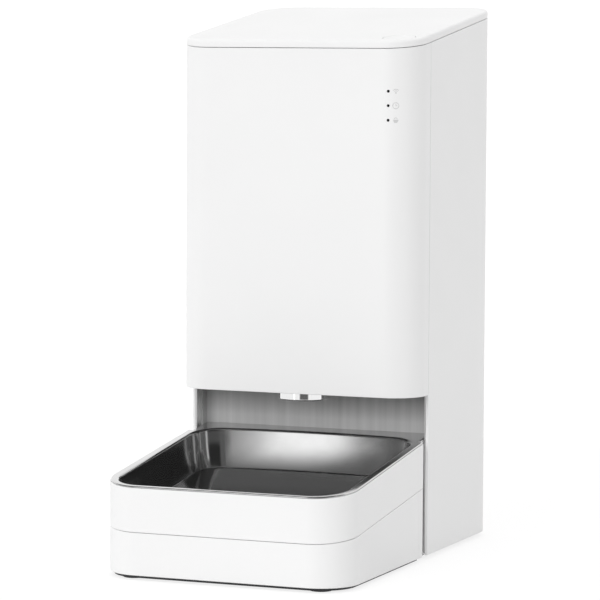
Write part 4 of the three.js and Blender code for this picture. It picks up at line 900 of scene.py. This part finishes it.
def clock_skin(height):
    """A ring with two hands."""
    short, long = MINUTE_HAND
    upright = [(SIGN_X, height + long), (SIGN_X, height + short), (SIGN_X, height)]
    level_hand = [(SIGN_X, height), (SIGN_X + HOUR_HAND / 2, height), (SIGN_X + HOUR_HAND, height)]
    return join_skins(
        ink_line(ring_points(SIGN_X, height, CLOCK_RADIUS), SIGN_LINE, True),
        ink_line(upright, HAND_LINE),
        ink_line(level_hand, HAND_LINE),
    )


def dish_skin(height):
    """A heap of food over three strips that narrow downwards."""
    skins = [ink_line(ring_points(SIGN_X, height + FOOD_RISE, FOOD_RADIUS, 0.0, 0.5, PART_STEPS), SIGN_LINE)]
    for half, rise, width in DISH_STRIPS:
        strip = [(x, height + rise) for x in (SIGN_X - half, SIGN_X, SIGN_X + half)]
        skins.append(ink_line(strip, width))
    return join_skins(*skins)


sign_ink = start_finish("sign_ink", (0.66, 0.66, 0.67), roughness=0.5)
vary_tone(sign_ink, grey(0.63), grey(0.7), scale=900)
sign_skins = {"radio_sign": radio_skin, "clock_sign": clock_skin, "dish_sign": dish_skin}
for (name, draw), height in zip(sign_skins.items(), LIGHT_HEIGHTS):
    sign = new_piece(name, draw(height), sign_ink)
    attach(sign, "case")
print("signs at the heights", LIGHT_HEIGHTS)

# %% [markdown]
# ## Light pipes
# Each light is a rod of smoked plastic that ends in the cover's face. Its front bulges by a tenth of a
# millimetre, which gives it a small highlight. It is a ring drawn on the corner and pulled in and out.

# %% Set the light pipes
PIPE_PROFILE = [(1.02, 4.6), (1.02, -0.02), (0.9, -0.06), (0.6, -0.1), (ON_AXIS, -0.12)]
lens_black = start_finish("lens_black", (0.006, 0.006, 0.007), roughness=0.18)
vary_gloss(lens_black, 0.14, 0.24, scale=1500)


def pipe_skin(height):
    """A pipe at a height, from inside the cover to its bulging front."""
    rings = []
    for radius, depth in PIPE_PROFILE:
        spots = [on_corner(x, z, 0) for x, z in ring_points(LIGHT_X, height, radius)]
        rings.append([(x, y + depth, z) for x, y, z in spots])
    return join_rings(rings)


for node_name, height in zip(("network_light", "food_level_light", "outlet_light"), LIGHT_HEIGHTS):
    lens = new_piece(node_name + "_pipe", pipe_skin(height), lens_black)
    stand_for(lens, "case", [node_name])
print("light pipes:", len(LIGHT_HEIGHTS))

# %% [markdown]
# ## Grey recess
# Behind the bowl stands a grey satin panel with faint upright streaks, under a darker plate. Both are plain
# sheets, so their solid shapes are right and only need a finish. The streaks are noise drawn out fifty times
# along z, in the tone and in the gloss. The panel's colour also darkens towards the plate. This is painted
# shade, standing in for the shade under the plate, where little light gets in.

# %% Brush the panel
STREAK = (1.0, 1.0, 0.02)
SHADE_HEIGHTS, SHADE_TONES, STREAK_SHARE = (117.0 * MM, 94.0 * MM), (0.24, 0.57), 0.18
panel_grey = start_finish("panel_grey", grey(0.36), roughness=0.4)
panel_tree = panel_grey.node_tree
panel_place = panel_tree.nodes.new("ShaderNodeTexCoord")
panel_parts = panel_tree.nodes.new("ShaderNodeSeparateXYZ")
panel_tree.links.new(panel_place.outputs["Object"], panel_parts.inputs["Vector"])
# Painted shade: the panel's colour darkens from 94 mm up to the plate at 117 mm, as if the plate shaded it.
painted_shade = range_node(panel_tree, panel_parts.outputs["Z"], SHADE_HEIGHTS, SHADE_TONES)
streaks = surface_noise(panel_tree, scale=260, detail=5.0, stretch=STREAK)
# The real streaks ride on top of the painted shade.
streaks_and_painted_shade = math_node(panel_tree, "MULTIPLY_ADD", streaks, STREAK_SHARE, painted_shade)
tone_by(panel_grey, streaks_and_painted_shade, grey(0.2), grey(0.68))
vary_gloss(panel_grey, 0.34, 0.48, scale=420, detail=4.0, stretch=STREAK)
grain(panel_grey, strength=0.1, depth=0.02, scale=500, detail=4.0, stretch=STREAK)


def dress(finish, *node_names):
    """Gives solid nodes a finish, whatever they wore."""
    for node_name in node_names:
        node = nodes[node_name]
        node.data.materials.clear()
        node.data.materials.append(finish)


dress(panel_grey, "recess_panel")
ceiling_grey = start_finish("ceiling_grey", grey(0.2), roughness=0.5)
vary_gloss(ceiling_grey, 0.45, 0.6, scale=300, detail=4.0)
grain(ceiling_grey, strength=0.15, depth=0.03, scale=900)
dress(ceiling_grey, "recess_ceiling")
print("finishes so far:", len(bpy.data.materials))

# %% [markdown]
# ## Cheek lining
# The side walls of the recess shine like metal, where the rest of the shell is white. A foil a third of a
# millimetre thick lines each wall in front of the panel. It is a thin bar of its own, because a second
# finish on the shell would need faces cut to the foil's outline.

# %% Line the cheeks
CHEEK_INNER, CHEEK_OUTER, CHEEK_FRONT, CHEEK_REAR = 87.15, 87.5, 31.35, 39.97
CHEEK_LOW, CHEEK_HIGH = 6.1, 117.6
cheeks = []
for side in (-1, 1):
    across = sorted((side * CHEEK_INNER, side * CHEEK_OUTER))
    cheeks.append(bar(*across, CHEEK_FRONT, CHEEK_REAR, level(CHEEK_LOW), level(CHEEK_HIGH)))
cheek_satin = start_finish("cheek_satin", grey(0.9), roughness=0.3, metallic=1.0)
vary_tone(cheek_satin, grey(0.86), grey(0.94), scale=260, detail=5.0, stretch=STREAK)
vary_gloss(cheek_satin, 0.24, 0.34, scale=420, detail=4.0, stretch=STREAK)
cheek_lining = new_piece("cheek_lining", join_skins(*cheeks), cheek_satin)
stand_for(cheek_lining, "case", ["body_shell"])
print("cheek lining:", CHEEK_HIGH - CHEEK_LOW, "mm tall")

# %% [markdown]
# ## Hidden works
# With the lid off, the tray drawn out or the model opened, the food bin, rotor, gears, cells and boards
# show. Their solids are kept, and each family gets the finish its real material has: smoky plastic for the
# bin, acetal, silicone, black glass-filled plastic, steel, solder mask, and printed sleeves over the cells.

# %% Mix the inner finishes
DARK_SHARE, LIGHT_SHARE, LEAST_LIFT = 0.9, 1.06, 0.002


def plain_plastic(name, color, roughness, grain_scale=1800):
    """A moulded plastic or rubber of one colour, with its roughness between two values."""
    material = start_finish(name, color, roughness[0])
    dark = [value * DARK_SHARE for value in color]
    light = [value * LIGHT_SHARE + LEAST_LIFT for value in color]
    vary_tone(material, dark, light, scale=40)
    vary_gloss(material, *roughness, scale=70)
    grain(material, strength=0.25, depth=0.03, scale=grain_scale, detail=2.0)
    return material


bin_clear = plain_plastic("bin_clear", (0.52, 0.55, 0.57), roughness=(0.18, 0.3))
dark_plastic = plain_plastic("dark_plastic", (0.025, 0.025, 0.027), roughness=(0.5, 0.62))
gear_plastic = plain_plastic("gear_plastic", (0.66, 0.65, 0.58), roughness=(0.34, 0.42))
soft_seal = plain_plastic("soft_seal", (0.55, 0.56, 0.56), roughness=(0.6, 0.72))
foot_rubber = plain_plastic("foot_rubber", (0.05, 0.05, 0.052), roughness=(0.7, 0.85), grain_scale=2600)
cell_wrap = plain_plastic("cell_wrap", (0.05, 0.12, 0.26), roughness=(0.22, 0.32))

# %% Mix the circuit boards
BOARD_TONES = {"Color1": (0.018, 0.11, 0.045), "Color2": (0.022, 0.13, 0.055), "Mortar": (0.05, 0.22, 0.1)}
circuit = start_finish("circuit", (0.02, 0.12, 0.05), roughness=0.3)
board_tree = circuit.node_tree
traces = board_tree.nodes.new("ShaderNodeTexBrick")
traces.inputs["Scale"].default_value = 140
traces.inputs["Mortar Size"].default_value = 0.03
for socket_name, tone in BOARD_TONES.items():
    traces.inputs[socket_name].default_value = (*tone, 1)
board_place = board_tree.nodes.new("ShaderNodeTexCoord")
board_tree.links.new(board_place.outputs["Object"], traces.inputs["Vector"])
steer(circuit, "Base Color", traces.outputs["Color"])
vary_gloss(circuit, 0.26, 0.4, scale=90)
print("finishes:", len(bpy.data.materials))

# %% Dress the hidden works
dress(bin_clear, "food_bin")
dress(inner_white, "lid_liner", "desiccant_box", "desiccant_cover", "top_collar", "portion_chamber")
dress(inner_white, "stirrer", "outlet_shutter", "outlet_chute", "tower_floor", "battery_door")
dress(soft_seal, "lid_seal", "portion_rotor")
dress(gear_plastic, "drive_gear", "idler_gear")
dress(dark_plastic, "gearbox_case", "gearbox_cover", "battery_box", "power_inlet", "base_plate")
dress(dark_plastic, "level_emitter", "level_receiver", "outlet_emitter", "outlet_receiver")
dress(hard_steel, "drive_shaft", "shaft_bush", "idler_pin", "motor_pinion", "motor")
floor_screws = [f"floor_screw_{count}" for count in range(1, 5)]
dress(hard_steel, *floor_screws)
dress(circuit, "control_board", "indicator_board", "button_switch")
battery_cells = [f"battery_cell_{count}" for count in range(1, 5)]
dress(cell_wrap, *battery_cells)
print("screws and cells dressed:", len(floor_screws) + len(battery_cells))

# %% [markdown]
# ## Rubber feet
# Six soft feet carry the feeder. Only their edges show, as small dark shapes under the base, so each is
# turned with a rounded lower edge and a shallow suction dish underneath.

# %% Turn the feet
FOOT_RADIUS, FOOT_ROUND, FOOT_RINGS, FOOT_STEPS = 8.0, 0.8, 5, 40
FOOT_DISH = [(ON_AXIS, 0.35), (4.5, 0.3), (5.6, 0.0)]
foot_names = ["rear_foot_1", "rear_foot_2", *[f"base_foot_{count}" for count in range(1, 5)]]
for node_name in foot_names:
    low_corner, high_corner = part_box(node_name)
    cx = (low_corner.x + high_corner.x) / 2 / MM
    cy = ((low_corner.y + high_corner.y) / 2 - FRONT_FACE) / MM
    top = high_corner.z / MM
    lower_edge = arc(FOOT_RADIUS - FOOT_ROUND, FOOT_ROUND, FOOT_ROUND, -1, 0, FOOT_RINGS)
    profile = [*FOOT_DISH, *lower_edge, (FOOT_RADIUS, top), (ON_AXIS, top)]
    foot = new_piece(node_name + "_pad", join_rings(turned(profile, cx, cy, FOOT_STEPS)), foot_rubber)
    stand_for(foot, "case", [node_name])
print("feet:", len(foot_names))

# %% [markdown]
# ## Floor
# The photograph has a white ground with hardly any shadow. A matt white disc gives off a plain glow and only
# a share of what it catches, so a faint contact shadow is left. Only rays that look at the floor see that
# glow: for light that bounces off it, the floor is plain matt white, or it would light the feeder from below.

# %% Lay the floor
FLOOR_RADIUS, FLOOR_STEPS, FLOOR_DROP = 700.0, 64, 0.2
SHADOW_SHARE, FLOOR_GLOW = 0.3, 1.14


def looking_rays(tree, rays):
    """1 for rays from the camera, straight or by way of a mirror, and 0 for other light."""
    kinds = [rays.outputs[f"Is {kind} Ray"] for kind in ("Camera", "Glossy", "Transmission")]
    return chain(tree, "MAXIMUM", *kinds)


def mix_shaders(tree, share, first, second):
    """Two shaders mixed; at a share of 1 only the second is left."""
    mix = tree.nodes.new("ShaderNodeMixShader")
    if isinstance(share, float):
        mix.inputs["Fac"].default_value = share
    else:
        tree.links.new(share, mix.inputs["Fac"])
    tree.links.new(first.outputs[0], mix.inputs[1])
    tree.links.new(second.outputs[0], mix.inputs[2])
    return mix


floor_points = [(x, y, 0) for x, y in circle(0, 0, FLOOR_RADIUS, FLOOR_STEPS)]
floor_white = start_finish("floor_white", grey(0.8), roughness=0.9)
floor_tree = floor_white.node_tree
floor_shader = floor_tree.nodes["Principled BSDF"]
floor_shader.inputs["Specular IOR Level"].default_value = 0.0
floor = new_piece("floor", (floor_points, [tuple(range(FLOOR_STEPS))]), floor_white)
floor.location.z = -FLOOR_DROP * MM
glow = floor_tree.nodes.new("ShaderNodeEmission")
glow.inputs["Color"].default_value = (1, 1, 1, 1)
glow.inputs["Strength"].default_value = FLOOR_GLOW
shaded = mix_shaders(floor_tree, SHADOW_SHARE, glow, floor_shader)
floor_rays = floor_tree.nodes.new("ShaderNodeLightPath")
floor_mix = mix_shaders(floor_tree, looking_rays(floor_tree, floor_rays), floor_shader, shaded)
floor_tree.links.new(floor_mix.outputs[0], floor_tree.nodes["Material Output"].inputs["Surface"])
print("floor radius:", FLOOR_RADIUS, "mm")

# %% [markdown]
# ## Angles of the sky
# Polished steel shows its whole surroundings, so the studio has to be arranged by direction. For the world,
# the Generated output is the direction looked at. Two angles say where that is: the turn round the feeder,
# 0 straight in front and positive to the right, and the rise above the horizon. A patch is a soft-edged
# window in both.

# %% Measure directions
world = bpy.data.worlds.new("studio")
bpy.context.scene.world = world
world.use_nodes = True
sky = world.node_tree
sky.nodes.clear()
direction = sky.nodes.new("ShaderNodeTexCoord").outputs["Generated"]
parts = sky.nodes.new("ShaderNodeSeparateXYZ")
sky.links.new(direction, parts.inputs["Vector"])
turn = math_node(sky, "ARCTAN2", parts.outputs["X"], math_node(sky, "MULTIPLY", parts.outputs["Y"], -1.0))
rise = math_node(sky, "ARCSINE", parts.outputs["Z"])
STRAIGHT_DOWN = -90


def window(angle, centre, half, fade):
    """1 inside a band of angles in degrees, falling to 0 over the fade."""
    away = math_node(sky, "ABSOLUTE", math_node(sky, "SUBTRACT", angle, math.radians(centre)))
    band = (math.radians(half), math.radians(half + fade))
    return range_node(sky, away, band, (1.0, 0.0), curve="SMOOTHSTEP")


def patch(centre, half, fade, strength):
    """A soft-edged bright patch; each size is a pair of degrees, round the feeder and upwards."""
    across, upright = [window(*sizes) for sizes in zip((turn, rise), centre, half, fade)]
    return chain(sky, "MULTIPLY", across, upright, strength)


print("directions measured from the front, straight down is", STRAIGHT_DOWN, "degrees")

# %% [markdown]
# ## Backdrop
# The studio is white low down and high up behind the feeder, where the backdrop hangs. In front, a dark gap
# in it gives the steel its dark parts, and a narrow strip stands to the right. The camera itself sees
# white all round, so that the picture's ground is even from any side.

# %% Hang the backdrop
BACK_GLOW = 1.1
rays = sky.nodes.new("ShaderNodeLightPath")
behind = window(math_node(sky, "ABSOLUTE", turn), centre=180, half=82, fade=10)
below_top = window(rise, centre=STRAIGHT_DOWN, half=160, fade=12)
tall = chain(sky, "MULTIPLY", behind, below_top, BACK_GLOW)
gap = window(turn, centre=22, half=14, fade=8)
below_horizon = window(rise, centre=STRAIGHT_DOWN, half=90, fade=5)
low_white = math_node(sky, "MULTIPLY", below_horizon, math_node(sky, "SUBTRACT", 1.0, gap))
right_strip = patch(centre=(64, 14), half=(2.5, 14), fade=(2.5, 6), strength=0.65)
backdrop = chain(sky, "MAXIMUM", low_white, tall, right_strip, rays.outputs["Is Camera Ray"])
print("backdrop strength:", BACK_GLOW)

# %% [markdown]
# ## Soft box
# One soft box hangs to the left of the front, with a dimmer sheen beside it, and both end sharply towards the
# front. They draw the bright streaks on the steel. The rest of the studio is dark, a little lighter high up
# and darker in one patch to the right.

# %% Hang the soft box
STUDIO_DARK, STUDIO_HIGH, PATCH_SHARE = 0.13, 0.17, 0.8
box = patch(centre=(-21.6, 0), half=(2.2, 5), fade=(4, 30), strength=1.42)
sheen = patch(centre=(-18, 0), half=(4, 5), fade=(2, 30), strength=0.45)
left_side = window(turn, centre=-35, half=20, fade=1)
box_light = math_node(sky, "MULTIPLY", math_node(sky, "MAXIMUM", box, sheen), left_side)
high_light = patch(centre=(0, 56), half=(80, 14), fade=(30, 16), strength=STUDIO_HIGH)
dark_patch = patch(centre=(34, 26), half=(20, 10), fade=(10, 9), strength=STUDIO_DARK * PATCH_SHARE)
studio = math_node(sky, "MAXIMUM", high_light, STUDIO_DARK)
upper = math_node(sky, "SUBTRACT", studio, dark_patch)
seen = math_node(sky, "MAXIMUM", backdrop, math_node(sky, "ADD", box_light, upper))
print("studio levels:", STUDIO_DARK, STUDIO_HIGH)

# %% [markdown]
# ## Even sky and lamp
# The white faces need the very even light of the photograph: the front nearly white, the side a light grey.
# So matt surfaces see a plain sky, a little brighter above than below, and so does light that a matt surface
# has scattered already. One broad lamp from the front left lifts the front, and mirrors don't show it.

# %% Light the studio
SKY_HIGH, SKY_LOW = 0.87, 0.68
NEVER_SCATTERED = 0.5


def sky_view(strength):
    """White light of a given strength from every direction."""
    view = sky.nodes.new("ShaderNodeBackground")
    view.inputs["Color"].default_value = (1, 1, 1, 1)
    sky.links.new(strength, view.inputs["Strength"])
    return view


overhead = math_node(sky, "SUBTRACT", 1.0, window(rise, centre=STRAIGHT_DOWN, half=85, fade=25))
sky_level = math_node(sky, "ADD", SKY_LOW, math_node(sky, "MULTIPLY", overhead, SKY_HIGH - SKY_LOW))
unscattered = math_node(sky, "LESS_THAN", rays.outputs["Diffuse Depth"], NEVER_SCATTERED)
straight = math_node(sky, "MULTIPLY", looking_rays(sky, rays), unscattered)
view_mix = mix_shaders(sky, straight, sky_view(sky_level), sky_view(seen))
out = sky.nodes.new("ShaderNodeOutputWorld")
sky.links.new(view_mix.outputs[0], out.inputs["Surface"])
lamp_data = bpy.data.lights.new("front_lamp", "SUN")
lamp_data.energy = 0.85
lamp_data.angle = math.radians(45)
lamp = bpy.data.objects.new("front_lamp", lamp_data)
bpy.context.scene.collection.objects.link(lamp)
lamp_from = Vector((-0.3, -0.87, 0.4))
lamp.rotation_mode = "QUATERNION"
lamp.rotation_quaternion = lamp_from.to_track_quat("Z", "Y")
lamp.visible_glossy = False
print("sky levels:", SKY_LOW, SKY_HIGH, "lamp:", lamp_data.energy)

# %% [markdown]
# ## Camera
# The camera stands to the right and a little above, far away with a long lens, so the tower's upright edges
# lean together only slightly. Its numbers come from fitting the feeder's own corners to the picture.

# %% Set the camera
AZIMUTH, ELEVATION, ROLL_ANGLE = math.radians(22.1259), math.radians(4.6813), math.radians(0.2795)
DISTANCE, LENS, AIM_X, AIM_Z = 2.24973, 193.403, 0.0053213, 0.18208
level_back = Vector((math.sin(AZIMUTH), -math.cos(AZIMUTH), 0))
back = level_back * math.cos(ELEVATION) + Vector((0, 0, math.sin(ELEVATION)))
right = (-back).cross(Vector((0, 0, 1))).normalized()
upward = right.cross(-back)
right_rolled = right * math.cos(ROLL_ANGLE) + upward * math.sin(ROLL_ANGLE)
up_rolled = upward * math.cos(ROLL_ANGLE) - right * math.sin(ROLL_ANGLE)
camera_data = bpy.data.cameras.new("camera")
camera_data.sensor_width = 36.0
camera_data.lens = LENS
camera_data.clip_start, camera_data.clip_end = 0.05, 50.0
camera = bpy.data.objects.new("camera", camera_data)
bpy.context.scene.collection.objects.link(camera)
eye = Vector((AIM_X, FRONT_FACE, AIM_Z)) + back * DISTANCE
camera.matrix_world = Matrix((right_rolled, up_rolled, back)).transposed().to_4x4()
camera.location = eye
bpy.context.scene.camera = camera
bpy.context.scene.view_settings.view_transform = "Standard"
print("camera stands at", [round(value, 3) for value in eye])
